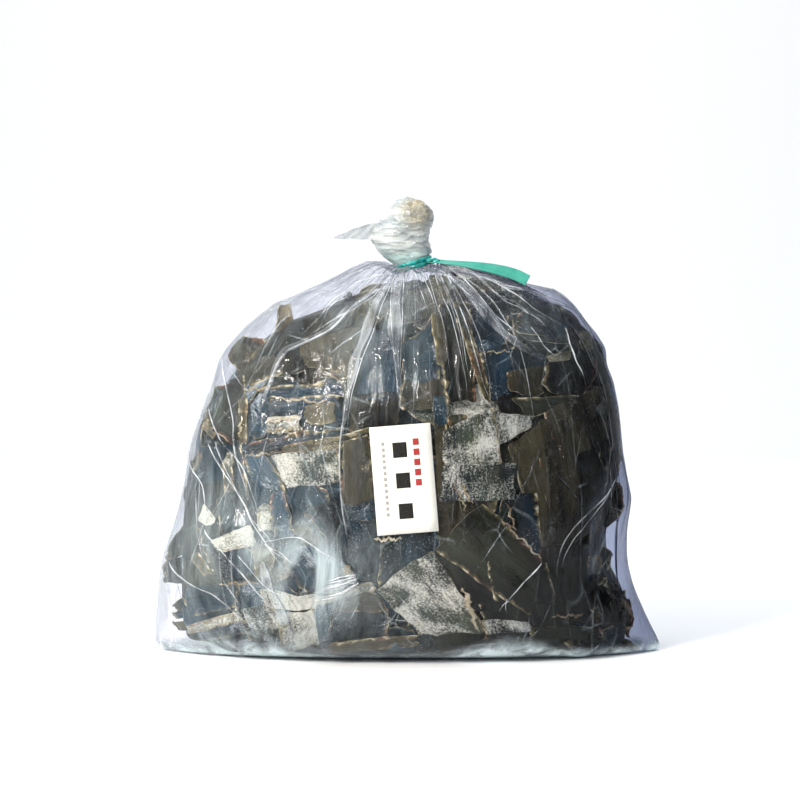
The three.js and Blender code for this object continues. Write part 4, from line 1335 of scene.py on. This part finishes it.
# %% The folds on the front
# what the fold is, its width mm, height mm and haze, and the frame pixels that it runs through
CREASES = [
    ("great_fold", 7.0, 2.0, 0.34, [(393, 276), (371, 318), (356, 363), (346, 406), (341, 446)]),
    ("great_fold_foot", 2.4, 1.4, 0.7, [(346, 402), (341, 446), (341, 493), (348, 543), (355, 566)]),
    ("great_fold_edge", 1.6, 1.2, 0.9, [(396, 276), (378, 318), (362, 363), (350, 406), (345, 446)]),
    ("spike", 11.0, 2.2, 0.30, [(399, 274), (395, 310), (396, 350), (400, 412)]),
    ("spike_edge_left", 1.4, 1.0, 0.9, [(394, 274), (391, 320), (396, 370), (400, 410)]),
    ("spike_edge_right", 1.2, 1.0, 0.9, [(405, 274), (402, 320), (401, 370), (400, 408)]),
    ("left_fold_edge", 1.6, 1.4, 0.8, [(386, 278), (341, 322), (289, 351), (266, 388), (247, 440)]),
    ("left_band", 6.0, 1.6, 0.28, [(382, 288), (335, 324), (286, 352), (268, 388), (246, 446)]),
    ("left_line", 1.1, 1.0, 0.85, [(388, 275), (354, 287), (320, 318), (288, 347)]),
    ("left_line_low", 1.0, 0.9, 0.7, [(390, 280), (364, 305), (319, 330), (293, 350)]),
    ("left_line_top", 0.9, 0.8, 0.6, [(385, 272), (334, 305), (302, 318)]),
    ("left_pleat", 1.6, 1.2, 0.8, [(224, 356), (231, 406), (235, 446), (245, 482), (262, 540)]),
    ("left_short", 1.0, 0.9, 0.8, [(229, 366), (240, 382), (252, 397)]),
    ("left_cross", 1.3, 1.0, 0.75, [(210, 407), (221, 439), (243, 467), (258, 512), (264, 541)]),
    ("left_rim", 1.3, 1.0, 0.8, [(191, 446), (200, 480), (206, 506), (205, 528)]),
    ("left_long", 1.4, 1.2, 0.85, [(208, 442), (230, 480), (253, 525), (283, 566), (313, 600)]),
    ("left_long_twin", 1.0, 1.0, 0.7, [(216, 440), (243, 501), (270, 540), (300, 590)]),
    ("pocket_top", 1.5, 1.2, 0.85, [(264, 541), (300, 538), (330, 556), (354, 566)]),
    ("pocket_a", 2.6, 1.5, 1.0, [(357, 574), (340, 577), (318, 584)]),
    ("pocket_b", 3.0, 1.5, 1.0, [(358, 578), (338, 585), (312, 592)]),
    ("pocket_c", 2.2, 1.3, 0.95, [(360, 582), (338, 593), (308, 600)]),
    ("pocket_white", 6.5, 1.2, 0.55, [(357, 577), (334, 587), (300, 599)]),
    ("pocket_g", 2.0, 1.2, 0.95, [(357, 576), (336, 581), (306, 588)]),
    ("pocket_h", 1.6, 1.2, 0.9, [(358, 584), (332, 597), (300, 604)]),
    ("pocket_d", 1.2, 1.0, 0.8, [(264, 543), (290, 560), (313, 596)]),
    ("pocket_e", 1.1, 1.0, 0.7, [(264, 543), (300, 565), (325, 578)]),
    ("pocket_f", 1.1, 1.0, 0.7, [(300, 536), (322, 552), (350, 562)]),
    ("low_long", 1.6, 1.2, 0.9, [(205, 528), (226, 555), (256, 589), (283, 626), (287, 650)]),
    ("low_cross", 1.4, 1.1, 0.8, [(168, 560), (208, 592), (243, 619), (260, 632)]),
    ("low_short", 1.2, 1.0, 0.75, [(236, 553), (266, 586), (290, 606), (292, 650)]),
    ("low_inner", 1.0, 1.0, 0.7, [(223, 576), (250, 622), (262, 645)]),
    ("low_band", 6.0, 1.4, 0.4, [(262, 560), (274, 596), (290, 630), (292, 652)]),
    ("right_band", 8.5, 2.0, 0.20, [(437, 270), (468, 296), (497, 327), (520, 347), (549, 366)]),
    ("right_band_edge", 1.3, 1.1, 0.55, [(441, 268), (478, 296), (506, 326), (549, 364)]),
    ("right_line_a", 1.1, 1.0, 0.45, [(444, 267), (500, 298), (540, 322), (568, 358)]),
    ("right_line_b", 1.1, 1.0, 0.45, [(446, 266), (526, 303), (566, 330)]),
    ("right_line_c", 1.0, 0.9, 0.42, [(450, 266), (503, 286), (560, 304), (585, 322), (590, 350)]),
    ("right_line_d", 1.0, 0.9, 0.40, [(452, 266), (520, 290), (580, 322)]),
    ("right_line_e", 0.9, 0.9, 0.40, [(448, 268), (492, 292), (530, 314), (556, 340)]),
    ("right_line_f", 0.9, 0.9, 0.36, [(456, 270), (510, 289), (556, 300), (580, 318)]),
    ("right_line_g", 0.8, 0.8, 0.36, [(440, 274), (480, 306), (512, 338), (536, 362)]),
    ("right_straight", 1.3, 1.1, 0.75, [(564, 328), (576, 363), (587, 391)]),
    ("right_pocket", 1.0, 0.9, 0.6, [(529, 328), (549, 353), (568, 357)]),
    ("middle_a", 1.1, 1.0, 0.65, [(430, 272), (441, 295), (455, 330), (466, 385), (466, 402)]),
    ("middle_b", 1.0, 1.0, 0.6, [(426, 274), (435, 300), (447, 350), (452, 380)]),
    ("middle_c", 1.0, 1.0, 0.6, [(434, 271), (450, 300), (466, 360), (470, 380)]),
    ("middle_d", 1.3, 1.1, 0.7, [(440, 272), (463, 318), (480, 373), (492, 406)]),
    ("under_neck_a", 1.0, 1.0, 0.75, [(408, 274), (404, 290), (402, 305)]),
    ("under_neck_b", 1.0, 1.0, 0.75, [(414, 274), (422, 296), (430, 316)]),
    ("under_neck_c", 1.0, 1.0, 0.75, [(420, 274), (432, 300), (438, 314)]),
    ("lower_right_a", 1.0, 0.9, 0.45, [(616, 478), (572, 529), (552, 588)]),
    ("lower_right_b", 0.9, 0.9, 0.4, [(608, 492), (572, 540), (560, 572)]),
    ("lower_right_star", 1.2, 1.0, 0.9, [(541, 562), (522, 583), (502, 606)]),
    ("star_a", 0.8, 0.8, 0.8, [(508, 600), (502, 605), (498, 612)]),
    ("star_b", 0.8, 0.8, 0.8, [(506, 598), (505, 606), (506, 613)]),
]
for _, width, height, haze, pixels in CREASES:
    draw_fold(film_at(pixels), width, height, haze)
print(len(folds), "folds on the front")

# %% Pleats all round the neck
PLEAT_COUNT = 64
PLEAT_ENDS = (52, 74)               # degrees above the level, seen from the heart
LONG_SHARE, LONG_DROP = 0.45, 35    # this share of the pleats ends so many degrees lower
for number in range(PLEAT_COUNT):
    angle = 2 * math.pi * (number + rng.uniform(-0.4, 0.4)) / PLEAT_COUNT
    start = neck_ring(np.array([angle]), 0.5 * MM, np.array([-3 * MM]))[0]
    drop = rng.uniform(*PLEAT_ENDS)
    if rng.random() < LONG_SHARE:
        drop -= LONG_DROP
    look = direction(angle + rng.uniform(-0.25, 0.25), math.radians(drop))
    end = HEART + look * sample(skin, look)
    draw_fold([start, end], rng.uniform(0.5, 1.3), rng.uniform(0.8, 1.6), rng.uniform(0.08, 0.36))

# %% Creases on the film all round
CREASE_COUNT = 80
LOWEST_CREASE = -0.80                # radians below the level
BACK_FROM = -0.03                    # y at which creases get the back's haze
BACK_HAZE, FRONT_HAZE = (0.35, 0.85), (0.05, 0.2)
for number in range(CREASE_COUNT):
    azimuth = rng.uniform(0, 2 * math.pi)
    top = rng.uniform(-0.75, 0.55)
    lean = rng.uniform(-0.35, 0.35)
    fall = rng.uniform(0.25, 0.75)
    stops = []
    for share in (0, 0.5, 1):
        look = direction(azimuth + lean * share, max(top - fall * share, LOWEST_CREASE))
        stops.append(HEART + look * sample(skin, look))
    x, y, _ = stops[1]
    if y > BACK_FROM:
        strength = rng.uniform(*BACK_HAZE)
    else:
        strength = rng.uniform(*FRONT_HAZE)
    if x < 0.02:
        strength *= 2.0
    elif x > 0.12:
        strength *= 0.5
    draw_fold(stops, rng.uniform(0.7, 1.6), rng.uniform(0.6, 1.2), strength, head=0.25)
print(len(folds), "folds in all")


# %% The folds as one piece
def folds_piece():
    """One mesh of all folds, each a closed ridge, with the haze at its points."""
    bm = bmesh.new()
    for _ in folds:
        bmesh.ops.create_grid(bm, x_segments=FOLD_STEPS, y_segments=len(RIDGE) - 1, size=1)
    mesh = mesh_from(bm, "film_folds")
    place_vertices(mesh, np.concatenate([fold["points"].reshape(-1, 3) for fold in folds]))
    mark(mesh, "layers", np.concatenate([fold["layers"].ravel() for fold in folds]))
    bm = bmesh.new()
    bm.from_mesh(mesh)
    bmesh.ops.remove_doubles(bm, verts=bm.verts, dist=1e-7)
    bmesh.ops.recalc_face_normals(bm, faces=bm.faces)
    bm.to_mesh(mesh)
    bm.free()
    return mesh


creases = new_object("film_folds", folds_piece(), film_material(
    "polythene_folded", "#ffffff", "#e9eef0", haze=0.85, glance_haze=0.0, gloss=1.25,
    roughness=0.12))
hand_over(creases, "bag")
print("folds piece of", len(creases.data.polygons), "faces")

# %% [markdown]
# ## The top-knot
# Above the tie the spare film is doubled over and rolled into a fist. So many layers lie on
# each other that it turns milky white. It is built like the body, as one distance for each
# direction, this time seen from the middle of the knot, with deep crumples added.

# %% The top-knot's form
KNOT_HEART = np.array((-0.002, 0.0, 0.3795))
KNOT_LIMIT = 34 * MM          # farther out a ray has run into the loose corner of film
CRUMPLE_MM = 9
CROWN = (0.384, 0.392)        # heights between which wraps give way to crumples
FOOT = (0.352, 0.362)         # and between which both begin
WAIST = (0.362, 0.350)        # and between which the knot narrows to the tied neck


def crumple(points, size_mm):
    """Ridged folds of about size_mm."""
    return np.array([noise.ridged_multi_fractal(Vector(p), 1.0, 2.0, 4, 1.0, 2.0)
                     for p in points / (size_mm * MM)]) - 1.1


bm = bmesh.new()
bmesh.ops.create_uvsphere(bm, u_segments=230, v_segments=190, radius=1)
knot_mesh = mesh_from(bm, "top_knot")
looks = unit(coordinates(knot_mesh))
reach = np.minimum(cast(KNOT_HEART, looks), KNOT_LIMIT)
points = KNOT_HEART + looks * reach[:, None]
turn = np.arctan2(looks[:, 1], looks[:, 0])
up = points[:, 2] / MM
strain = 1.2 * np.sin(turn * 2 + 0.6) + 0.9 * np.sin(turn * 3 + 2 + up * 0.15)
wraps = (0.8 * sharp(np.sin(up / 1.15 + 2.0 * strain), 3)
         + 0.7 * sharp(np.sin(up / 0.85 - 1.6 * strain + turn), 4)
         + 0.8 * sharp(np.sin(3 * turn + up / 2.6), 5))
crumples = crumple(points * (1.0, 1.0, 0.9), CRUMPLE_MM)
crown = smoothstep(*CROWN, points[:, 2])
rise = 0.95 * wraps * (1 - 0.7 * crown) + 0.8 * crumples * (0.4 + 0.8 * crown) - 0.6
points += looks * (rise * MM * smoothstep(*FOOT, points[:, 2]))[:, None]
angle = np.arctan2(points[:, 1] - NECK[1], points[:, 0] - NECK[0])
waist = neck_ring(angle, -0.3 * MM, 0.0)
low = smoothstep(*WAIST, points[:, 2])[:, None]
place_vertices(knot_mesh, points * (1 - low) + waist * low)
print("top-knot of", len(knot_mesh.polygons), "faces")

# %% The top-knot's finish
KNOT_WARMTH = (0.009, -0.012, 0.398)        # the middle of its beige patch


def knot_material():
    """Many layers of crumpled polythene: milky, satin, warm where they are thickest."""
    made, tree = material("polythene_bundled")
    place = node(tree, "TexCoord", output="Object")
    wrapped = node(tree, "Mapping", {
        "Vector": place, "Rotation": (0, 0.25, 0), "Scale": (0.45, 0.45, 1.6)})
    patches = node(tree, "TexNoise", {
        "Vector": wrapped, "Scale": per_mm(16), "Detail": 4.0, "Roughness": 0.6,
        "Distortion": 0.5})
    colour = node(tree, "ValToRGB", [patches], stops=[
        (0.30, "#859092"), (0.45, "#adb5b6"), (0.62, "#cdd0cb")])

    # The crown's right half is crumpled hardest and looks beige; the foot takes a painted teal
    # tint of the light that the tie throws on it.
    spot = node(tree, "VectorMath", [place, KNOT_WARMTH], "Value", operation="DISTANCE")
    warm = node(tree, "MapRange", [spot, 0.024, 0.008])
    crumbs = node(tree, "TexNoise", {
        "Vector": place, "Scale": per_mm(4.5), "Detail": 5.0, "Roughness": 0.7,
        "Distortion": 1.2})
    beige = node(tree, "ValToRGB", [crumbs], stops=[
        (0.36, "#75664a"), (0.5, "#b0a37f"), (0.66, "#d9d1b2")])
    height = node(tree, "SeparateXYZ", [place], "Z")
    tie_light_painted = node(tree, "MapRange", [height, 0.364, 0.353, 0.0, 0.5])

    # Hairline edges and straight pleats of the wrapped layers catch the light, painted as
    # near-white highlights.
    layered = node(tree, "TexNoise", {
        "Vector": wrapped, "Scale": per_mm(12), "Detail": 3.0, "Roughness": 0.5,
        "Distortion": 1.0})
    level = node(tree, "Math", [layered, 0.5], operation="SUBTRACT")
    level = node(tree, "Math", [level], operation="ABSOLUTE")
    line = node(tree, "MapRange", [level, 0.014, 0.003])
    facets = node(tree, "TexVoronoi", {"Vector": wrapped, "Scale": per_mm(10)}, feature="F1")
    dull = node(tree, "MapRange", [facets, 0.35, 0.75, 0.0, 0.45])
    for share, tint in (
            (node(tree, "Math", [warm, 0.9], operation="MULTIPLY"), beige),
            (tie_light_painted, srgb("#86bdb6")),
            (node(tree, "Math", [line, 0.8], operation="MULTIPLY"), srgb("#f2f4f0")),
            (dull, srgb("#6f797c"))):
        colour = node(tree, "Mix", {0: share, 6: colour, 7: tint}, 2, data_type="RGBA")

    # The same lines and facets stand out in relief, with finer wrinkles and the warm crumbs.
    fine = node(tree, "TexNoise", {
        "Vector": wrapped, "Scale": per_mm(8), "Detail": 4.0, "Roughness": 0.55,
        "Distortion": 1.0})
    crumbled = node(tree, "Math", [crumbs, warm], operation="MULTIPLY")
    normal = node(tree, "Bump", {"Height": line, "Distance": 0.5 * MM})
    for relief, rise_mm in ((facets, 2.0), (fine, 1.0), (crumbled, 2.5)):
        normal = node(tree, "Bump", {
            "Height": relief, "Distance": rise_mm * MM, "Normal": normal})
    shader = node(tree, "BsdfPrincipled", {
        "Base Color": colour, "Roughness": 0.22, "Specular IOR Level": 0.7,
        "Subsurface Weight": 0.2, "Subsurface Radius": (0.004, 0.004, 0.004), "Normal": normal})
    node(tree, "OutputMaterial", [shader])
    return made


knot = new_object("top_knot", knot_mesh, knot_material())
hand_over(knot, "bag")
print(knot.name, "has its finish:", knot.data.materials[0].name)

# %% [markdown]
# A corner of the bag's mouth has slipped out of the bundle and points to the left, a wavy
# pointed leaf of two layers. A grid is narrowed to its tip, sagged and waved, and given a wall.

# %% The loose corner
LEAF_LENGTH = 48 * MM
LEAF_ROOT = np.array((-0.0195, 0.0, 0.3765))
LEAF_HEIGHTS = (21 * MM, 1.2 * MM)
LEAF_WALL = 0.5 * MM
HEM = 0.40                  # above this share of the height the film is doubled back
LEAF_HAZE, HEM_HAZE = 0.42, 0.25

bm = bmesh.new()
bmesh.ops.create_grid(bm, x_segments=70, y_segments=40, size=0.5)
leaf_mesh = mesh_from(bm, "film_corner")
flat = coordinates(leaf_mesh)
along = 0.5 - flat[:, 0]
doubled = np.maximum(flat[:, 1] - HEM, 0)
upward = np.minimum(flat[:, 1], HEM) - 0.9 * doubled + (0.5 - HEM)
height = LEAF_HEIGHTS[0] + (LEAF_HEIGHTS[1] - LEAF_HEIGHTS[0]) * along ** 1.25
sag = (7.5 * along ** 2 - 2.5 * along) * MM
wave = 2.4 * MM * np.sin(6 * along + 0.6) * (0.5 + flat[:, 1])
crimp = 0.8 * MM * np.sin(30 * along + 9 * flat[:, 1]) * np.exp(-along / 0.4)
points = LEAF_ROOT + np.stack([
    -LEAF_LENGTH * along, wave + crimp + doubled * 9 * MM,
    upward * height - sag + 0.5 * MM * np.sin(21 * along) * along], -1)
place_vertices(leaf_mesh, points)
mark(leaf_mesh, "layers", LEAF_HAZE + HEM_HAZE * (doubled > 0))
leaf = new_object("film_corner", leaf_mesh, film_material(
    "polythene_corner", "#e9ebed", "#c8cdce", haze=1.0, glance_haze=0.0, gloss=1.3,
    roughness=0.15))
thicken(leaf, LEAF_WALL)
hand_over(leaf, "bag")
print("leaf tip at", tuple(points[along.argmax()].round(3)))

# %% [markdown]
# ## The tie
# The tie is a flat vinyl tape with a wire down its middle. It is wound twice round the neck and
# crumples into the film, is wrung once at the right, and its free end lies along the shoulder.
# A thin profile is spun into the ring, a grid bent along a path makes the free end, and a
# twisted ball the wrung knot between them.

# %% The tie's wound ring
TAPE_WIDTH = 9 * MM
TAPE_THICKNESS = 0.6 * MM

bm = bmesh.new()
half = TAPE_WIDTH * 0.4
profile = [bm.verts.new((1 + x * MM, 0, z)) for x, z in (
    (0.0, -half), (1.7, -half * 0.92), (2.1, -half * 0.45), (1.3, 0), (2.3, half * 0.4),
    (1.8, half * 0.95), (0.0, half))]
edges = [bm.edges.new((profile[i], profile[(i + 1) % len(profile)])) for i in range(len(profile))]
bmesh.ops.spin(bm, geom=profile + edges, cent=(0, 0, 0), axis=(0, 0, 1), angle=2 * math.pi,
               steps=150, use_merge=True)
bmesh.ops.recalc_face_normals(bm, faces=bm.faces)
bmesh.ops.subdivide_edges(bm, edges=[e for e in bm.edges if abs(
    e.verts[0].co.z - e.verts[1].co.z) > 0.3 * MM], cuts=2, use_grid_fill=True)
ring_mesh = mesh_from(bm, "tie_ring")
flat = coordinates(ring_mesh)
angle = np.arctan2(flat[:, 1], flat[:, 0])
grow = np.linalg.norm(flat[:, :2], axis=1) - 1
pinch = 1 - 0.08 * np.sin(angle * 2 + 0.8) - 0.04 * np.sin(angle * 7)
ripple = 0.2 * MM * np.sin(angle * 23 + flat[:, 2] * 900) * (grow > 0.5 * MM)
place_vertices(ring_mesh, np.array([
    neck_ring(a, g + r, z) for a, g, r, z in zip(angle, grow, ripple, flat[:, 2] * pinch)]))
print("ring of", len(ring_mesh.polygons), "faces")

# %% The tie's free end
TAIL_PATH = MM * np.array([
    (17, -13, 350.5), (29, -17, 349.6), (46, -20, 347.8), (64, -22, 345.4), (80, -24, 342.2),
    (94, -26, 338), (104.5, -28, 332.8)])
TAIL_ROLL = (1.05, 0.12)              # radians the tape is rolled, at the ring and at its end
TAIL_LEVEL = (0.05, 0.8)              # the shares of its length between which it unrolls

bm = bmesh.new()
bmesh.ops.create_grid(bm, x_segments=110, y_segments=12, size=0.5)
tail_mesh = mesh_from(bm, "tie_tail")
flat = coordinates(tail_mesh)
t = flat[:, 0] + 0.5
middle = through_stops(TAIL_PATH, t)
forward = unit(through_stops(TAIL_PATH, np.minimum(t + 0.01, 1))
               - through_stops(TAIL_PATH, np.maximum(t - 0.01, 0)))
up = unit(np.cross(np.array((0, -1.0, 0)), forward))
face = np.cross(forward, up)
unrolled = smoothstep(*TAIL_LEVEL, t)
roll = (TAIL_ROLL[0] + (TAIL_ROLL[1] - TAIL_ROLL[0]) * unrolled)[:, None]
up, face = up * np.cos(roll) - face * np.sin(roll), face * np.cos(roll) + up * np.sin(roll)
width = TAPE_WIDTH * (0.6 + 0.52 * smoothstep(0, 0.9, t))
across = flat[:, 1] * width
wire = 0.35 * MM * np.exp(-(flat[:, 1] / 0.09) ** 2)
cup = 0.7 * MM * (4 * flat[:, 1] ** 2 - 0.5) * (1 - smoothstep(0.3, 0.9, t))
place_vertices(tail_mesh, middle + up * across[:, None] + face * (wire + cup)[:, None])
print("free end of", len(tail_mesh.polygons), "faces")

# %% Where the tie is wrung
TWIST_MIDDLE = np.array((0.0215, -0.0135, 0.351))
TWIST_TURN = 2.6                      # radians from its middle to either end

bm = bmesh.new()
bmesh.ops.create_uvsphere(bm, u_segments=48, v_segments=64, radius=1)
twist_mesh = mesh_from(bm, "tie_twist")
flat = coordinates(twist_mesh)
turn = TWIST_TURN * flat[:, 2]
lobes = 1 + 0.22 * np.cos(3 * (np.arctan2(flat[:, 1], flat[:, 0]) + turn))
place_vertices(twist_mesh, TWIST_MIDDLE + np.stack([
    flat[:, 2] * 7.2 * MM, flat[:, 0] * 2.5 * MM * lobes,
    flat[:, 1] * 2.3 * MM * lobes - flat[:, 2] * 0.6 * MM], -1))
print("wrung part of", len(twist_mesh.polygons), "faces")


# %% The tape's finish
def tape_material():
    """Soft vinyl tape, calendered: satin, even, a little light passes through."""
    made, tree = material("vinyl_tape")
    place = node(tree, "TexCoord", output="Object")
    clouds = node(tree, "TexNoise", {
        "Vector": place, "Scale": per_mm(11), "Detail": 3.0, "Roughness": 0.55})
    colour = node(tree, "ValToRGB", [clouds], stops=[(0.3, "#228a7a"), (0.7, "#409e8b")])
    grain = node(tree, "TexNoise", {
        "Vector": place, "Scale": per_mm(1.4), "Detail": 3.0, "Roughness": 0.55})
    normal = node(tree, "Bump", {"Height": grain, "Distance": 0.08 * MM})
    shader = node(tree, "BsdfPrincipled", {
        "Base Color": colour, "Roughness": 0.38, "Subsurface Weight": 0.15,
        "Subsurface Radius": (0.001, 0.002, 0.0018), "Normal": normal})
    node(tree, "OutputMaterial", [shader])
    return made


def wound_tape_material():
    """The same tape wound tight: deeper colour, creased, with the neck's shade on it."""
    made, tree = material("vinyl_tape_wound")
    place = node(tree, "TexCoord", output="Object")
    clouds = node(tree, "TexNoise", {
        "Vector": place, "Scale": per_mm(5), "Detail": 4.0, "Roughness": 0.55})
    colour = node(tree, "ValToRGB", [clouds], stops=[
        (0.3, "#066059"), (0.5, "#0e8f89"), (0.75, "#3cbcb6")])
    wrinkles = node(tree, "TexNoise", {
        "Vector": place, "Scale": per_mm(2.2), "Detail": 4.0, "Roughness": 0.6,
        "Distortion": 1.0})
    normal = node(tree, "Bump", {"Height": wrinkles, "Distance": 0.25 * MM})
    shader = node(tree, "BsdfPrincipled", {
        "Base Color": colour, "Roughness": 0.24, "Specular IOR Level": 0.6, "Normal": normal})
    node(tree, "OutputMaterial", [shader])
    return made


tape, wound_tape = tape_material(), wound_tape_material()
tail = new_object("tie_tail", tail_mesh, tape)
thicken(tail, TAPE_THICKNESS)
ring = new_object("tie_ring", ring_mesh, wound_tape)
wrung = new_object("tie_twist", twist_mesh, wound_tape)
for each in (ring, tail, wrung):
    hand_over(each, "tie")
print("tie:", [each.name for each in (ring, tail, wrung)])

# %% [markdown]
# ## The label
# A plain white card, cut by hand a little out of square and slightly bowed by the bag behind it.
# Its print is kept to simple shapes: three black blocks, a short red column and a fine grey one.

# %% The label's finishes
def paper_material():
    """Uncoated card: matt, warm white, with a faint fibre grain."""
    made, tree = material("label_card")
    place = node(tree, "TexCoord", output="Object")
    clouds = node(tree, "TexNoise", {
        "Vector": place, "Scale": per_mm(3), "Detail": 4.0, "Roughness": 0.55})
    colour = node(tree, "ValToRGB", [clouds], stops=[(0.2, "#dedbd0"), (0.8, "#e9e7de")])
    fibres = node(tree, "TexNoise", {
        "Vector": place, "Scale": per_mm(0.5), "Detail": 2.0, "Roughness": 0.55})
    normal = node(tree, "Bump", {"Height": fibres, "Distance": 0.03 * MM})
    shader = node(tree, "BsdfPrincipled", {
        "Base Color": colour, "Roughness": 0.75, "Normal": normal})
    node(tree, "OutputMaterial", [shader])
    return made


def ink_material(name, hex_colour):
    """Printing ink soaked into card: matt, a little uneven."""
    made, tree = material(name)
    place = node(tree, "TexCoord", output="Object")
    specks = node(tree, "TexNoise", {
        "Vector": place, "Scale": per_mm(0.8), "Detail": 3.0, "Roughness": 0.55})
    worn = node(tree, "MapRange", [specks, 0.3, 0.7, 0.0, 0.04])
    colour = node(tree, "Mix", {0: worn, 6: srgb(hex_colour), 7: srgb("#efece2")}, 2,
                  data_type="RGBA")
    shader = node(tree, "BsdfPrincipled", {
        "Base Color": colour, "Roughness": 0.6, "Specular IOR Level": 0.08})
    node(tree, "OutputMaterial", [shader])
    return made


# %% The label
CARD_BOW = 0.25 * MM
CARD_FACE = 0.4 * MM            # from the label's middle out to its face
CARD_WALL = 0.7 * MM
INK_WALL = 0.04 * MM
INK_LIFT = 0.05 * MM            # the ink's face, in front of the card's


def card_points(x, y, lift):
    """Places on the card's face from its middle, in metres, lifted off the paper."""
    bow = CARD_BOW * (1 - (2 * y / CARD_SIZE[1]) ** 2)
    out = CARD_FACE + bow + lift
    return (CARD_MIDDLE + np.multiply.outer(x, CARD_ACROSS) + np.multiply.outer(y, CARD_UP)
            + np.multiply.outer(out, CARD_OUT))


def card_piece(name, rectangles, wall, lift, finish):
    """Flat rectangles (middle x, middle y, width, height, in mm) on the card, with a wall."""
    bm = bmesh.new()
    for _ in rectangles:
        bmesh.ops.create_grid(bm, x_segments=6, y_segments=10, size=0.5)
    mesh = mesh_from(bm, name)
    flat = coordinates(mesh).reshape(len(rectangles), -1, 3)
    sizes = np.array(rectangles) * MM
    x = (sizes[:, :1] + flat[..., 0] * sizes[:, 2:3]).ravel()
    y = (sizes[:, 1:2] + flat[..., 1] * sizes[:, 3:4]).ravel()
    place_vertices(mesh, card_points(x, y, np.full(x.shape, lift)))
    made = new_object(name, mesh, finish)
    thicken(made, wall, offset=-1)
    hand_over(made, "label")
    print(name, "of", len(rectangles), "rectangles")


card_piece("label_card", [(0, 0, 52, 92)], CARD_WALL, 0.0, paper_material())
for name, colour, rectangles in (
        ("black", "#0d0c0b", [(-1.5, 25.0, 12, 13), (-0.6, -1.0, 12, 13), (-0.2, -27.0, 12, 13)]),
        ("red", "#9c2a2b", [(12.5, 31 - 8.6 * i, 5.2, 5.6) for i in range(5)]),
        ("grey", "#9b9890", [(-15.5, 31 - 5.0 * i, 2.6, 2.8) for i in range(13)])):
    card_piece("label_print_" + name, rectangles, INK_WALL, INK_LIFT,
               ink_material("ink_" + name, colour))

# %% [markdown]
# ## Floor, backdrop and light
# A pale sweep of paper stands behind the bag. A slightly warm window light comes from the left
# and above, a weak cool one fills in from the right, and a soft box hangs overhead. A fourth
# light brightens the backdrop, and the sky is bright to the left and overhead, so that every
# fold of the film has something to mirror.

# %% Floor and backdrop
SWEEP_FRONT = ((-9, -7, 0), (9, -7, 0))
SWEEP_DEPTH, SWEEP_HEIGHT = 10.0, 6
CURVE_STEPS, CURVE_STRIDE = 12, 0.2


def pull(bm, lip, way):
    """Extrudes edges into a strip along way, and gives back the strip's own edges."""
    strip = bmesh.ops.extrude_edge_only(bm, edges=lip)["geom"]
    bmesh.ops.translate(bm, verts=[v for v in strip if isinstance(v, bmesh.types.BMVert)],
                        vec=way)
    return [e for e in strip if isinstance(e, bmesh.types.BMEdge)]


bm = bmesh.new()
lip = [bm.edges.new([bm.verts.new(corner) for corner in SWEEP_FRONT])]
lip = pull(bm, lip, (0, SWEEP_DEPTH, 0))
for step in range(CURVE_STEPS):
    rise = (step + 0.5) / CURVE_STEPS * math.pi / 2
    lip = pull(bm, lip, (0, CURVE_STRIDE * math.cos(rise), CURVE_STRIDE * math.sin(rise)))
pull(bm, lip, (0, 0, SWEEP_HEIGHT))
backdrop_paper, tree = material("backdrop_paper")
node(tree, "OutputMaterial", [node(tree, "BsdfDiffuse", {"Color": (0.93, 0.93, 0.935, 1)})])
floor = new_object("sweep", mesh_from(bm, "sweep"), backdrop_paper)
print("sweep of", len(floor.data.polygons), "faces")


# %% Lights
def soft_light(name, location, size, power, hex_colour, aim=(0, 0, 0.2)):
    """A rectangular light at a location, of size metres and power watts, turned to aim."""
    data = bpy.data.lights.new(name, "AREA")
    data.shape = "RECTANGLE"
    data.size, data.size_y = size
    data.energy = power
    data.color = srgb(hex_colour)[:3]
    lamp = bpy.data.objects.new(name, data)
    lamp.location = location
    lamp.rotation_euler = (Vector(aim) - Vector(location)).to_track_quat("-Z", "Y").to_euler()
    bpy.context.scene.collection.objects.link(lamp)
    print(name, "of", power, "W")


soft_light("key_left", (-1.6, -1.9, 1.7), (0.75, 0.75), 100, "#fffaf2")
soft_light("fill_right", (1.9, -1.0, 0.9), (0.4, 1.2), 4, "#f2f5ff")
soft_light("softbox_top", (0.1, 0.1, 2.2), (1.6, 1.2), 16, "#f6f8ff")
soft_light("backdrop_light", (0, 0.9, 2.3), (3.0, 0.8), 45, "#ffffff", aim=(0, 3.3, 0.9))

# %% The sky
SKY_TINT = (0.88, 0.93, 1.0, 1)
CLEAR_LAYERS = 40               # so many clear surfaces a ray may pass
world = bpy.data.worlds.new("studio")
world.use_nodes = True
tree = world.node_tree
tree.nodes.clear()
way = node(tree, "TexCoord", output="Generated")
leftward = node(tree, "SeparateXYZ", [way], "X")
leftward = node(tree, "MapRange", [leftward, 0.3, -0.7, 0.05, 0.80])
overhead = node(tree, "SeparateXYZ", [way], "Z")
overhead = node(tree, "MapRange", [overhead, 0.15, 0.75, 0.0, 0.75])
glow = node(tree, "Math", [leftward, overhead], operation="MAXIMUM")
sky = node(tree, "Background", {"Color": SKY_TINT, "Strength": glow})
node(tree, "OutputWorld", [sky])
bpy.context.scene.world = world
bpy.context.scene.view_settings.view_transform = "Standard"
bpy.context.scene.cycles.transparent_max_bounces = CLEAR_LAYERS
print("world", world.name)
